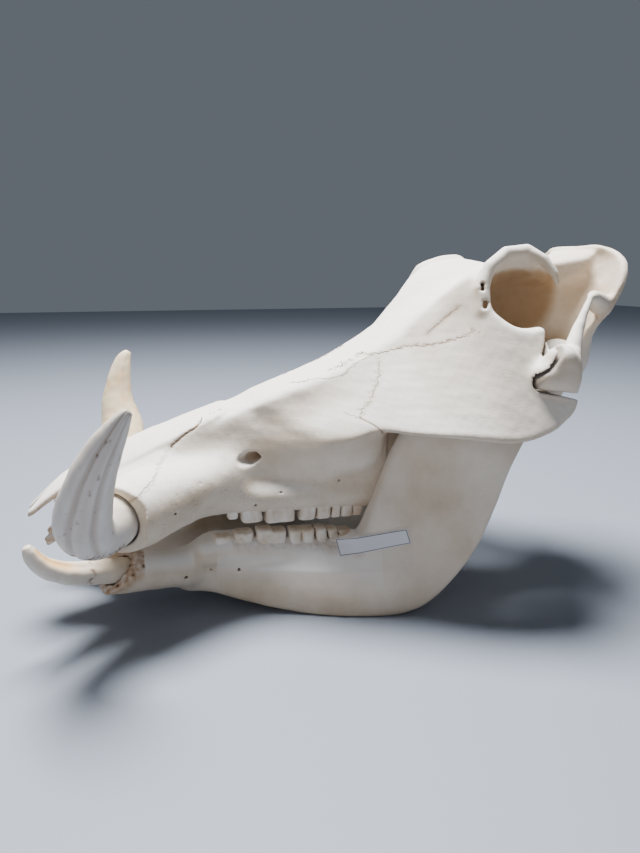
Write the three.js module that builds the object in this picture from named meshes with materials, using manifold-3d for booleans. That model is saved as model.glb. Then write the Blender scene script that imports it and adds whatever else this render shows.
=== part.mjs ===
// A warthog skull with its jaw, tusks and cheek teeth, life size, resting on the lower edge of its jaw.
// Millimetres. +X runs from the snout to the back of the head, +Y to the animal's right, +Z up from the table.
import * as THREE from 'three';
import { mergeVertices } from 'three/addons/utils/BufferGeometryUtils.js';
import { edgeTable, triTable } from 'three/addons/objects/MarchingCubes.js';
import Module from 'manifold-3d';

const wasm = await Module();
wasm.setup();

// Driving dimensions of the whole skull
const GAP = 0.35;
const CLEAR = 1;
const ORBIT = { x: 238, s: 66, z: 204, radius: 25 };
const TUSK_ROOT_RADIUS = 15.5;
const LOWER_TUSK_RADIUS = 8;
const CRANIUM_TRIANGLES = 5400;
const JAW_TRIANGLES = 2000;

// Bone, enamel and ivory colours
const bone = new THREE.MeshStandardMaterial({ color: 0xe9e3d6, roughness: 0.7, metalness: 0 });
const ivory = new THREE.MeshStandardMaterial({ color: 0xefe2c2, roughness: 0.4, metalness: 0 });
const enamel = new THREE.MeshStandardMaterial({ color: 0xe0d6c0, roughness: 0.45, metalness: 0 });

// Numbers
const clamp = THREE.MathUtils.clamp;

// The two distances joined with a fillet about k wide, and the same for what lies in both.
function join(a, b, k) {
  const h = clamp(0.5 + (0.5 * (b - a)) / k, 0, 1);
  return b + (a - b) * h - k * h * (1 - h);
}
const both = (a, b, k) => -join(-a, -b, k);

// A value that changes smoothly along one axis, from a few [place, value] pairs.
function along(pairs) {
  const slope = pairs.map((p, i) => {
    const a = pairs[Math.max(i - 1, 0)];
    const b = pairs[Math.min(i + 1, pairs.length - 1)];
    return (b[1] - a[1]) / (b[0] - a[0]);
  });
  return (x) => {
    if (x <= pairs[0][0]) return pairs[0][1];
    const i = pairs.findIndex((p) => p[0] >= x);
    if (i < 0) return pairs.at(-1)[1];
    const [[x0, v0], [x1, v1]] = [pairs[i - 1], pairs[i]];
    const w = x1 - x0;
    const t = (x - x0) / w;
    const rest = 1 - t;
    const fromStart = rest * rest * (v0 * (1 + 2 * t) + slope[i - 1] * w * t);
    return fromStart + t * t * (v1 * (3 - 2 * t) - slope[i] * w * rest);
  };
}

// A rounded lump. Fields take x, s and z, where s is the distance from the middle plane.
function lump([cx, cs, cz], [rx, rs, rz]) {
  return (x, s, z) => {
    const [a, b, c] = [(x - cx) / rx, (s - cs) / rs, (z - cz) / rz];
    const reach = Math.hypot(a, b, c);
    const steep = Math.hypot(a / rx, b / rs, c / rz);
    return steep ? (reach * (reach - 1)) / steep : -Math.min(rx, rs, rz);
  };
}

// A round bar of changing radius through [x, s, z, radius] points.
function bar(points) {
  return (x, s, z) => {
    let least = Infinity;
    for (let i = 0; i + 1 < points.length; i++) {
      const [a, b] = [points[i], points[i + 1]];
      const d = [b[0] - a[0], b[1] - a[1], b[2] - a[2]];
      const dot = (x - a[0]) * d[0] + (s - a[1]) * d[1] + (z - a[2]) * d[2];
      const t = clamp(dot / (d[0] ** 2 + d[1] ** 2 + d[2] ** 2), 0, 1);
      const away = Math.hypot(x - a[0] - d[0] * t, s - a[1] - d[1] * t, z - a[2] - d[2] * t);
      least = Math.min(least, away - a[3] - (b[3] - a[3]) * t);
    }
    return least;
  };
}

// The distance from a smooth closed outline, less than zero inside it.
function outline(points, steps = 4) {
  const loop = new THREE.CatmullRomCurve3(
    points.map(([u, v]) => new THREE.Vector3(u, v, 0)), true, 'centripetal');
  const edge = loop.getPoints(points.length * steps).slice(0, -1);
  return (u, v) => {
    let least = Infinity;
    let inside = false;
    edge.forEach((a, i) => {
      const b = edge[(i + 1) % edge.length];
      const [du, dv] = [b.x - a.x, b.y - a.y];
      const t = clamp(((u - a.x) * du + (v - a.y) * dv) / (du * du + dv * dv), 0, 1);
      least = Math.min(least, (u - a.x - du * t) ** 2 + (v - a.y - dv * t) ** 2);
      if (a.y > v !== b.y > v && u < a.x + (du * (v - a.y)) / dv) inside = !inside;
    });
    return inside ? -Math.sqrt(least) : Math.sqrt(least);
  };
}

// A flat bone seen from the side: an outline in x and z, its outer face, and how far in it reaches.
function sidePlate(points, outer, thickness, round = 5) {
  const edge = outline(points);
  return (x, s, z) => {
    const face = outer(x, z);
    const slab = both(s - face, face - thickness(x, z) - s, round);
    return both(slab, edge(x, z), round);
  };
}

// A long bone seen end on: boxy sections whose half width, top and floor change along x.
function trunk({ half, top, floor, taper, power, from, to, low = -1.2 }) {
  return (x, s, z) => {
    const [up, down] = [top(x, s), floor(x)];
    const middle = (up + down) / 2;
    const tall = (up - down) / 2;
    const wide = half(x) * (1 + taper(x) * clamp((z - middle) / tall, low, 1.2));
    const reach = (Math.abs(s / wide) ** power + Math.abs((z - middle) / tall) ** power) ** (1 / power);
    return both((reach - 1) * Math.min(wide, tall), Math.max(from - x, x - to), 6);
  };
}

// Surfaces. Cell corners and edges are numbered as in the table of cases.
const CORNERS = [[0, 0, 0], [1, 0, 0], [1, 1, 0], [0, 1, 0], [0, 0, 1], [1, 0, 1], [1, 1, 1], [0, 1, 1]];
const EDGES = [[0, 1], [1, 2], [2, 3], [3, 0], [4, 5], [5, 6], [6, 7], [7, 4], [0, 4], [1, 5], [2, 6], [3, 7]];

// The surface of a field inside a box, as shared vertices and triangles. With mirror, s is |y|.
function surfaceOf(field, [low, high], step, mirror) {
  const count = low.map((v, i) => Math.ceil((high[i] - v) / step) + 1);
  const place = (i, axis) => low[axis] + i * step;
  const values = new Float32Array(count[0] * count[1] * count[2]);
  const at = (i, j, k) => i + count[0] * (j + count[1] * k);
  for (let k = 0; k < count[2]; k++)
    for (let j = 0; j < count[1]; j++)
      for (let i = 0; i < count[0]; i++) {
        const y = place(j, 1);
        const value = field(place(i, 0), mirror ? Math.abs(y) : -y, place(k, 2));
        values[at(i, j, k)] = Math.abs(value) < 0.02 ? 0.02 : value;
      }
  const vertices = [];
  const triangles = [];
  const known = new Map();
  const crossing = (cell, edge) => {
    const ends = EDGES[edge].map((c) => CORNERS[c].map((o, axis) => cell[axis] + o));
    const [a, b] = ends.map((e) => at(...e));
    const key = a < b ? a * values.length + b : b * values.length + a;
    if (!known.has(key)) {
      const t = values[a] / (values[a] - values[b]);
      known.set(key, vertices.length);
      vertices.push(new THREE.Vector3(...ends[0].map((e, axis) => place(e + (ends[1][axis] - e) * t, axis))));
    }
    return known.get(key);
  };
  for (let k = 0; k + 1 < count[2]; k++)
    for (let j = 0; j + 1 < count[1]; j++)
      for (let i = 0; i + 1 < count[0]; i++) {
        const outside = (c) => values[at(i + c[0], j + c[1], k + c[2])] > 0;
        const sort = CORNERS.reduce((bits, c, n) => bits | (outside(c) ? 1 << n : 0), 0);
        if (!edgeTable[sort]) continue;
        for (let n = sort * 16; triTable[n] >= 0; n += 3)
          triangles.push([triTable[n], triTable[n + 1], triTable[n + 2]].map((e) => crossing([i, j, k], e)));
      }
  return { vertices, triangles };
}

// Fewer triangles for the same shape: edges collapse where the surface moves least, until wanted are left.
function thinned({ vertices, triangles }, wanted) {
  const quadrics = vertices.map(() => new Float64Array(10));
  const around = vertices.map(() => new Set());
  const normalOf = (t, moved, spot) => {
    const [a, b, c] = t.map((v) => (moved.includes(v) ? spot : vertices[v]));
    return new THREE.Vector3().subVectors(b, a).cross(new THREE.Vector3().subVectors(c, a));
  };
  triangles.forEach((t, i) => {
    const normal = normalOf(t, [], null);
    const area = normal.length() / 2;
    normal.normalize();
    const p = [normal.x, normal.y, normal.z, -normal.dot(vertices[t[0]])];
    for (const v of t) {
      around[v].add(i);
      for (let a = 0, n = 0; a < 4; a++)
        for (let b = a; b < 4; b++, n++) quadrics[v][n] += p[a] * p[b] * area;
    }
  });
  const error = (q, { x, y, z }) =>
    q[0] * x * x + 2 * q[1] * x * y + 2 * q[2] * x * z + 2 * q[3] * x + q[4] * y * y +
    2 * q[5] * y * z + 2 * q[6] * y + q[7] * z * z + 2 * q[8] * z + q[9];
  const best = (a, b) => {
    const q = quadrics[a].map((v, n) => v + quadrics[b][n]);
    const solved = new THREE.Matrix3().set(q[0], q[1], q[2], q[1], q[4], q[5], q[2], q[5], q[7]);
    const middle = vertices[a].clone().lerp(vertices[b], 0.5);
    const spots = [vertices[a], vertices[b], middle];
    if (Math.abs(solved.determinant()) > 1e-3) {
      const spot = new THREE.Vector3(-q[3], -q[6], -q[8]).applyMatrix3(solved.invert());
      if (spot.distanceTo(middle) < 2 * vertices[a].distanceTo(vertices[b])) spots.push(spot);
    }
    const costs = spots.map((s) => error(q, s));
    const least = Math.min(...costs);
    return { a, b, q, spot: spots[costs.indexOf(least)],
      cost: least + 1e-4 * vertices[a].distanceToSquared(vertices[b]) };
  };
  const version = new Uint32Array(vertices.length);
  const heap = [];
  const push = (item) => {
    let i = heap.push(item) - 1;
    while (i && heap[(i - 1) >> 1].cost > heap[i].cost) {
      const up = (i - 1) >> 1;
      [heap[i], heap[up]] = [heap[up], heap[i]];
      i = up;
    }
  };
  const pop = () => {
    const top = heap[0];
    const last = heap.pop();
    if (heap.length) {
      heap[0] = last;
      for (let i = 0; ;) {
        const [l, r] = [2 * i + 1, 2 * i + 2];
        let m = i;
        if (l < heap.length && heap[l].cost < heap[m].cost) m = l;
        if (r < heap.length && heap[r].cost < heap[m].cost) m = r;
        if (m === i) break;
        [heap[i], heap[m]] = [heap[m], heap[i]];
        i = m;
      }
    }
    return top;
  };
  const offer = (a, b) => push({ ...best(a, b), born: [version[a], version[b]] });
  triangles.forEach(([a, b, c]) => [[a, b], [b, c], [c, a]].forEach(([u, v]) => u < v && offer(u, v)));
  const neighbours = (v) => new Set([...around[v]].flatMap((i) => triangles[i]).filter((w) => w !== v));
  let left = triangles.length;
  while (left > wanted && heap.length) {
    const { a, b, q, spot, born } = pop();
    if (born[0] !== version[a] || born[1] !== version[b]) continue;
    const shared = [...around[a]].filter((i) => around[b].has(i));
    const nearB = neighbours(b);
    const common = [...neighbours(a)].filter((v) => nearB.has(v));
    if (shared.length !== 2 || common.length !== 2) continue;
    const kept = [...around[a], ...around[b]].filter((i) => !shared.includes(i));
    const flips = kept.some((i) => {
      const [before, after] = [normalOf(triangles[i], [], null), normalOf(triangles[i], [a, b], spot)];
      return before.dot(after) < 0.3 * before.length() * after.length() || after.length() < 1e-3;
    });
    if (flips) continue;
    for (const i of shared) {
      triangles[i].forEach((v) => around[v].delete(i));
      triangles[i] = null;
    }
    for (const i of around[b]) {
      triangles[i] = triangles[i].map((v) => (v === b ? a : v));
      around[a].add(i);
    }
    around[b].clear();
    vertices[a] = spot.clone();
    quadrics[a] = q;
    version[a]++;
    version[b]++;
    left -= 2;
    neighbours(a).forEach((v) => offer(a, v));
  }
  return { vertices, triangles: triangles.filter(Boolean) };
}

// Between the surface's own numbers, a solid for cuts and joins, and a three.js geometry.
function solidOf({ vertices, triangles }) {
  const vertProperties = new Float32Array(vertices.flatMap((v) => [v.x, v.y, v.z]));
  const solid = new wasm.Manifold(new wasm.Mesh({ numProp: 3, vertProperties,
    triVerts: new Uint32Array(triangles.flat()) }));
  return largest(solid);
}

function solidFrom(geometry) {
  const bare = geometry.clone().deleteAttribute('normal').deleteAttribute('uv');
  const merged = mergeVertices(bare, 1e-4);
  const vertProperties = merged.attributes.position.array;
  return new wasm.Manifold(new wasm.Mesh({ numProp: 3, vertProperties,
    triVerts: new Uint32Array(merged.index.array) }));
}

// The biggest closed piece of a solid.
function largest(solid) {
  return solid.decompose().reduce((most, piece) => (piece.volume() > most.volume() ? piece : most));
}

function geometryOf(solid) {
  const { numProp, vertProperties, triVerts } = solid.getMesh();
  const positions = [...triVerts].flatMap((v) => [...vertProperties.subarray(v * numProp, v * numProp + 3)]);
  const made = new THREE.BufferGeometry();
  made.setAttribute('position', new THREE.Float32BufferAttribute(positions, 3));
  made.computeVertexNormals();
  return made;
}

// The cranium. The roof line is the middle of the snout and brow; its edges rise towards the orbits.
const roofLine = along([[-61, 72], [-40, 91], [-20, 101], [0, 110], [14, 115.8], [22, 118.3], [38, 123.6],
  [54, 128.6],
  [70, 134], [87, 140], [104, 146], [121, 152], [138, 159.2], [156, 168.5], [172, 177.5], [188, 187],
  [203, 196],
  [220, 205], [245, 213], [275, 221], [305, 226.5], [335, 230]]);
const edgeRise = along([[140, 0], [172, 2], [180, 7], [188, 12], [203, 15], [214, 16], [226, 16], [238, 15],
  [250, 12],
  [265, 6], [285, 0]]);
const snoutArch = along([[-61, 0.014], [14, 0.009], [50, 0.005], [110, 0.003], [160, 0.002], [335, 0.001]]);
function roofZ(x, s) {
  const side = clamp((s - 8) / 38, 0, 1.1);
  return roofLine(x) + edgeRise(x) * side * side * (3 - 2 * side) - snoutArch(x) * Math.min(s, 36) ** 2;
}
const face = trunk({
  from: -12,
  to: 312,
  top: roofZ,
  floor: along([[-12, 66], [150, 66], [166, 76], [190, 96], [230, 112], [262, 122], [300, 142]]),
  half: along([[-12, 29], [15, 31], [50, 31], [85, 33], [120, 36], [155, 40], [190, 45], [208, 46], [222, 36],
    [240, 30], [265, 28], [290, 31], [320, 34]]),
  taper: along([[-12, -0.1], [15, -0.12], [50, -0.25], [85, -0.3], [120, -0.38], [155, -0.42], [190, -0.42],
    [210, -0.1], [240, -0.1], [290, -0.25]]),
  low: -0.3,
  power: 3.6,
});

// The brow, a roof of bone that reaches out over each orbit and narrows behind them.
const browPlan = outline([[150, 12], [172, 19], [188, 24], [203, 34], [214, 44], [226, 48], [238, 50],
  [250, 51], [262, 47],
  [270, 37], [284, 28], [306, 28], [306, -20], [150, -20]]);
function brow(x, s, z) {
  const top = roofZ(x, s);
  return both(both(z - top, top - 15 - z, 7), browPlan(x, s), 7);
}

// Nasal roof: two pointed plates, arched across, that overhang the nose.
const nasalPlan = outline([[-61, 6], [-56, 11], [-40, 17], [-20, 22], [2, 25], [30, 23], [60, 16], [60, -6],
  [-30, -6],
  [-46, -1], [-55, 2.5]]);
function nasalRoof(x, s, z) {
  const top = roofZ(x, s);
  return both(both(z - top, top - 6 - z, 3), nasalPlan(x, s), 3);
}

// Premaxilla: a prong on each side that carries the upper front tooth, under the open nose.
const prong = bar([[25, 24, 82, 15], [-5, 21, 72, 11.5], [-28, 16, 65, 7.5], [-42, 11, 59, 5.5],
  [-50, 8, 55.5, 4.5]]);
const prongWall = bar([[20, 25, 96, 9], [-4, 24, 89, 7], [-24, 20, 77, 5]]);
const nasalCavity = bar([[-75, 0, 79, 12], [-40, 0, 80, 13], [-5, 0, 86, 15.5], [28, 0, 92, 12]]);

// Socket of the upper tusk, a swelling that points out and forwards and ends in a flat rim.
const socket = bar([[56, 27, 90, 12], [26, 38, 84, 18], [4, 48, 80, 21], [-8, 55, 78.5, 21]]);
const TUSK_OUT = new THREE.Vector3(-0.52, 0.84, -0.1).normalize();
const SOCKET_MOUTH = new THREE.Vector3(-11, 55, 79);
const pastRim = (x, s, z) =>
  (x - SOCKET_MOUTH.x) * TUSK_OUT.x + (s - SOCKET_MOUTH.y) * TUSK_OUT.y + (z - SOCKET_MOUTH.z) * TUSK_OUT.z;

// Cheek wing: the jugal plate, thick where it leaves the face and free behind the orbit.
const browEdge = along([[60, 25], [100, 23], [140, 21], [172, 22], [188, 25], [203, 34], [214, 46],
  [226, 53], [252, 54]]);
const cheekSpread = along([[90, 33], [105, 37], [118, 44], [130, 54], [140, 62], [150, 69], [164, 79],
  [190, 92],
  [217, 100], [240, 104], [258, 106]]);
function cheekOuter(x, z) {
  const top = roofLine(x) + edgeRise(x);
  const down = clamp((top - z) / (top - 120), 0, 1.2);
  return browEdge(x) + (cheekSpread(x) - browEdge(x)) * down ** 0.9;
}
const cheek = sidePlate(
  [[84, 140], [98, 129], [114, 122], [126, 119], [140, 121], [160, 120], [190, 119], [217, 117], [236, 121.5],
    [247, 127.5], [256, 135], [258.5, 142], [254, 150], [247, 158], [245, 172], [246, 185], [234, 182.5],
    [226, 184],
    [217, 192], [214, 206], [203, 200], [190, 190], [170, 176], [130, 155], [104, 146]],
  cheekOuter,
  (x) => THREE.MathUtils.mapLinear(clamp(x, 165, 212), 165, 212, 38, 9),
  5,
);
// The bone over the back teeth, which fills out under the root of the cheek.
const cheekRoot = bar([[92, 28, 102, 12], [118, 34, 106, 17], [138, 41, 108, 14]]);

// The back of the arch turns in to the braincase, with a ridge from it up to the crest.
const archRear = bar([[240, 92, 154.5, 9], [250, 90, 153.5, 11], [256, 83, 155, 11], [266, 68, 155, 12.5],
  [276, 45, 155, 16]]);
const archRidge = bar([[250, 92, 157, 9], [258, 86, 168, 6.5], [265, 81, 179, 5], [272, 76, 189, 4.5],
  [280, 69, 195, 4.5],
  [288, 61, 195, 5.5], [300, 51, 193, 7]]);

// Orbit: a round hollow that opens behind into the space for the jaw's muscles.
const orbitHollow = lump([ORBIT.x - 1, ORBIT.s + 12, ORBIT.z - 2], [ORBIT.radius - 3.5, 42, ORBIT.radius - 4]);
const templeHollow = lump([262, 64, 188], [17, 27, 30]);
const orbitRim = bar([[213, 58, 191, 3.6], [213.5, 54, 204, 4.2], [220, 51, 216.5, 4.8], [232, 49, 224, 4.8],
  [246, 49, 225, 4.8], [255, 55, 219.5, 4.2], [260, 60, 211, 3.4]]);

// Crest at the back of the head, the face of bone under it, and what hangs round the spine's opening.
const crestHalf = [[0, 229], [20, 230.5], [38, 228.5], [52, 220], [58, 206], [55, 190], [45, 176],
  [40, 158], [34, 142], [16, 134]];
const crestEdge = outline([...crestHalf, [0, 132], ...crestHalf.slice(1).reverse().map(([s, z]) => [-s, z])]);
const crestX = along([[132, 288], [150, 295], [173, 301], [195, 309], [212, 316], [224, 319], [235, 317]]);
function crest(x, s, z) {
  const middle = crestX(z) + 2 - 0.001 * s * s;
  const thick = Math.max(9 - 0.1 * s, 4);
  return both(Math.abs(x - middle) - thick, crestEdge(s, z), 5);
}
const condyle = lump([307, 16, 158], [13, 9, 13]);
const skullBase = bar([[160, 0, 84, 14], [200, 0, 104, 15], [260, 0, 128, 15], [292, 0, 146, 14]]);
const spinalHole = bar([[335, 0, 174, 12], [300, 0, 170, 11], [270, 0, 166, 9]]);
const spurBesideCondyle = bar([[283, 42, 155, 9], [278, 40, 134, 6.5], [272, 38, 112, 4]]);
const bulla = lump([262, 27, 118], [11, 8, 14]);
const palateWing = bar([[160, 19, 84, 6], [174, 20, 84, 5], [192, 21, 98, 5]]);
const noseNerveHole = bar([[70, 60, 100, 5.5], [74, 26, 102, 4.5]]);

function cranium(x, s, z) {
  let d = join(face(x, s, z), skullBase(x, s, z), 10);
  d = join(d, brow(x, s, z), 8);
  d = join(d, cheek(x, s, z), 16);
  d = join(d, cheekRoot(x, s, z), 14);
  d = both(d, z - roofZ(x, s), 5);
  d = join(d, socket(x, s, z), 16);
  d = join(d, prong(x, s, z), 8);
  d = join(d, prongWall(x, s, z), 6);
  d = both(d, -nasalCavity(x, s, z), 3);
  d = join(d, nasalRoof(x, s, z), 3);
  d = both(d, -templeHollow(x, s, z), 10);
  d = join(d, crest(x, s, z), 16);
  d = join(d, archRear(x, s, z), 10);
  d = join(d, archRidge(x, s, z), 8);
  d = both(d, -orbitHollow(x, s, z), 5);
  d = join(d, orbitRim(x, s, z), 6);
  d = join(d, condyle(x, s, z), 6);
  d = join(d, spurBesideCondyle(x, s, z), 6);
  d = join(d, bulla(x, s, z), 6);
  d = join(d, palateWing(x, s, z), 6);
  d = both(d, -spinalHole(x, s, z), 4);
  d = both(d, -noseNerveHole(x, s, z), 3);
  return both(d, s > 34 && x < 8 ? pastRim(x, s, z) : -20, 2);
}

// The jaw: a trough in front where both sides are one, and a deep branch on each side.
const jawBottom = along([[-18, 26], [0, 18.5], [25, 14], [48, 11.5], [70, 6], [90, 2], [170, 0]]);
const jawTop = along([[-18, 36], [-5, 40], [15, 40], [30, 43], [44, 47], [78, 46]]);
const chin = trunk({
  from: -18,
  to: 84,
  top: jawTop,
  floor: jawBottom,
  half: along([[-18, 24], [-6, 27], [10, 26], [30, 24], [50, 27], [78, 33]]),
  taper: along([[-18, 0.3], [10, 0.25], [50, 0.1], [78, 0]]),
  power: 3,
});
const trough = bar([[-30, 0, 47, 12], [20, 0, 46, 13], [60, 0, 44, 16], [100, 0, 30, 26]]);
const gorge = bar([[62, 0, -2, 8], [100, 0, 14, 26], [150, 0, 20, 38]]);
const branchOutline = [[30, 15], [48, 11.5], [69, 6], [90, 1], [112, -2.6], [130, -3.4], [150, -2.5], [172, 3],
  [186, 15], [199, 31], [209, 48.5], [217, 70], [224, 92], [231, 108], [241, 126], [248, 134], [246, 142],
  [236, 142],
  [226, 130], [212, 132], [202, 144], [192, 150], [182, 144], [172, 130], [162, 110], [154, 86], [146, 66],
  [138, 52],
  [128, 44], [110, 44.5], [90, 46.5], [70, 49], [50, 50], [38, 44]];
const branchBody = along([[40, 21], [54, 28], [70, 35], [95, 44], [125, 56], [150, 64], [190, 74],
  [220, 80], [250, 84]]);
const branchLean = along([[45, 0.05], [95, 0.2], [125, 0.28], [150, 0.22], [200, 0], [250, 0]]);
const branchThick = along([[45, 22], [100, 22], [140, 20], [180, 13], [240, 12]]);
const branch = sidePlate(
  branchOutline,
  (x, z) => branchBody(x) - branchLean(x) * (z - 20) - (z > 20 ? 0 : 0.012 * (20 - z) ** 2),
  (x, z) => Math.max(branchThick(x) - Math.max(z - 48, 0) * 0.1, 8),
  5,
);
const knuckle = lump([243, 76, 136], [8, 17, 7]);
const lowerSocket = bar([[30, 22, 30, 10], [6, 26, 35, 12.5], [-6, 30, 37, 12.5]]);
const LOWER_MOUTH = new THREE.Vector3(-7, 29, 37);
const LOWER_OUT = new THREE.Vector3(-0.72, 0.58, 0.38).normalize();
const pastLowerRim = (x, s, z) =>
  (x - LOWER_MOUTH.x) * LOWER_OUT.x + (s - LOWER_MOUTH.y) * LOWER_OUT.y + (z - LOWER_MOUTH.z) * LOWER_OUT.z;

function jaw(x, s, z) {
  let d = join(chin(x, s, z), branch(x, s, z), 8);
  d = join(d, both(lowerSocket(x, s, z), pastLowerRim(x, s, z), 2), 8);
  d = join(d, knuckle(x, s, z), 6);
  d = both(d, -trough(x, s, z), 5);
  return both(d, -gorge(x, s, z), 8);
}

// Teeth. A loft closes a stack of rings of points, and each end gets a middle point.
function loft(rings) {
  const vertices = rings.flat();
  const [n, last] = [rings[0].length, rings.length - 1];
  const triangles = [];
  for (let r = 0; r < last; r++)
    for (let i = 0; i < n; i++) {
      const [a, b] = [r * n + i, r * n + ((i + 1) % n)];
      triangles.push([a, b, b + n], [a, b + n, a + n]);
    }
  for (const r of [0, last]) {
    const middle = rings[r].reduce((sum, p) => sum.add(p), new THREE.Vector3()).divideScalar(n);
    vertices.push(middle);
    for (let i = 0; i < n; i++) {
      const [a, b] = [r * n + i, r * n + ((i + 1) % n)];
      triangles.push(r ? [a, b, vertices.length - 1] : [b, a, vertices.length - 1]);
    }
  }
  const vertProperties = new Float32Array(vertices.flatMap((v) => [v.x, v.y, v.z]));
  const solid = new wasm.Manifold(new wasm.Mesh({ numProp: 3, vertProperties,
    triVerts: new Uint32Array(triangles.flat()) }));
  if (solid.volume() > 0) return solid;
  return loft(rings.map((ring) => [...ring].reverse()));
}

// A curved tooth through [x, y, z, radius] points, with grooves along it. grow widens it for a socket.
function curvedTooth(points, { rings, sides, grooves, depth, flat, beside, grow = 0 }) {
  const path = new THREE.CatmullRomCurve3(points.map(([x, y, z]) => new THREE.Vector3(x, y, z)), false,
    'centripetal');
  const { tangents } = path.computeFrenetFrames(rings);
  const stack = [];
  for (let r = 0; r <= rings; r++) {
    const t = r / rings;
    const place = t * (points.length - 1);
    const i = Math.min(Math.floor(place), points.length - 2);
    const radius = THREE.MathUtils.lerp(points[i][3], points[i + 1][3], place - i) + grow;
    const across = new THREE.Vector3(...beside).cross(tangents[r]).normalize();
    const up = new THREE.Vector3().crossVectors(tangents[r], across);
    const centre = path.getPoint(t);
    stack.push(Array.from({ length: sides }, (_, n) => {
      const angle = (2 * Math.PI * n) / sides;
      const groove = grow ? 0 : grooves.reduce((d, g) => d + Math.exp(-(((angle - g) / 0.3) ** 2)), 0);
      const reach = radius * (1 - depth * groove);
      return centre.clone().addScaledVector(across, reach * Math.cos(angle)).addScaledVector(up,
        reach * flat * Math.sin(angle));
    }));
  }
  return loft(stack);
}

const mirrored = (points, side) => points.map(([x, s, ...rest]) => [x, side * s, ...rest]);
const SIDES = [['left', -1], ['right', 1]];

// Upper tusks grow out and forwards, then curl up and in. Lower tusks run along under them.
// The left one leans further forwards than the right one, and the lower right one is worn shorter.
const TUSK_ROOT = [[18, 31, 86, 12], [-8, 51, 79.5, TUSK_ROOT_RADIUS]];
const UPPER_TUSK = {
  left: [...TUSK_ROOT, [-19, 67, 76.5, 15.6], [-24.3, 82, 88, 15.6], [-20.3, 92, 106.7, 13.6],
    [-13.8, 99.5, 124, 11],
    [-5.6, 105, 139.3, 7], [1.8, 108.5, 150.4, 2.4]],
  right: [...TUSK_ROOT, [-13, 68, 77, 16], [-6, 84, 86, 16.8], [-2.4, 95, 99, 15.8], [-4.5, 102, 115.4, 12.6],
    [-2.1, 106.5, 136.6, 8.6], [5.4, 109.5, 154.8, 2.6]],
};
const LOWER_ROOT = [[16, 19, 30, 7], [-12, 29.5, 37.2, LOWER_TUSK_RADIUS], [-25.5, 39, 41.5, 7.4]];
const LOWER_TUSK = {
  left: [...LOWER_ROOT, [-40.5, 51, 50.5, 6.2], [-50, 58, 60, 5.4], [-54.5, 61, 70, 3]],
  right: [...LOWER_ROOT, [-38, 49.5, 49, 6.2], [-46, 55.5, 57, 5.4], [-49, 58, 65, 3]],
};
const UPPER_GROOVES = { rings: 20, sides: 14, grooves: [1.3, 2.5, 4.4],
  depth: 0.1, flat: 0.9, beside: [1, 0, 0] };
const LOWER_GROOVES = { rings: 14, sides: 10, grooves: [2], depth: 0.08, flat: 0.9, beside: [1, 0, 0] };
const upperTusk = (name, side, grow) => curvedTooth(mirrored(UPPER_TUSK[name],
  side), { ...UPPER_GROOVES, grow });
const lowerTusk = (name, side, grow) => curvedTooth(mirrored(LOWER_TUSK[name],
  side), { ...LOWER_GROOVES, grow });

// Cheek teeth: worn blocks with rounded lobes. Each row is [name, front x, back x, lobes, free end z].
const UPPER_CHEEK = [['p3', 58, 64, 1, 63], ['p4', 66, 80, 1, 60.7], ['m2', 81, 101, 2, 57.2],
  ['m3', 102, 146, 5, 55.8]];
const LOWER_CHEEK = [['p3', 49, 60, 1, 52], ['p4', 61, 74, 1, 53.8], ['m2', 75, 95, 2, 54.3],
  ['m3', 96, 138, 5, 51.5]];
const UPPER_ROOT_Z = 72;
const LOWER_ROOT_Z = 40;
const rowS = { upper: along([[50, 27.5], [150, 31]]), lower: along([[45, 27], [100, 29.5], [140, 31]]) };
const CHEEK_TOOTH_WIDTH = 13;

function cheekTooth(jawName, side, [, front, back, lobes, freeZ], grow) {
  const [length, middle] = [back - front, (front + back) / 2];
  const rootZ = jawName === 'upper' ? UPPER_ROOT_Z : LOWER_ROOT_Z;
  const widthOf = length < 8 ? 0.55 * CHEEK_TOOTH_WIDTH : CHEEK_TOOTH_WIDTH;
  const heights = [[0, 0.93], [0.45, 1], [0.86, 1], [1, 0.84]];
  const count = 6 + 4 * lobes;
  return loft(heights.map(([h, scale]) => Array.from({ length: count }, (_, n) => {
    const angle = (2 * Math.PI * n) / count;
    const [c, q] = [Math.cos(angle), Math.sin(angle)];
    const box = (Math.abs(c) ** 5 + Math.abs(q) ** 5) ** -0.2;
    const u = c * box;
    const pinch = 1 - 0.13 * (lobes > 1 ? Math.sin((lobes * Math.PI * (u + 1)) / 2 + Math.PI / 2) ** 8 : 0);
    const x = middle + u * ((length / 2) * scale + grow);
    const y = side * rowS[jawName](x) + q * box * ((widthOf / 2) * scale * pinch + grow);
    return new THREE.Vector3(x, y,
      rootZ + (freeZ - rootZ) * h + (h === 0 ? Math.sign(rootZ - freeZ) * grow : 0));
  })));
}

// Front teeth: small pegs, one each side above and two each side below.
const UPPER_INCISOR = [[-40, 9, 60, 3.5], [-47, 8, 54, 3.5], [-51, 5.5, 49, 1.8]];
const LOWER_INCISORS = [[[-8, 5, 34, 3.2], [-22, 5, 38, 3.4], [-34, 4.5, 41, 1.6]], [[-6, 13, 34, 3.2],
  [-20, 14, 38, 3.2], [-30, 14, 41, 1.6]]];
const peg = (points, side, grow) =>
  curvedTooth(mirrored(points, side), { rings: 4, sides: 7, grooves: [],
    depth: 0, flat: 0.9, beside: [0, 1, 0], grow });

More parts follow.
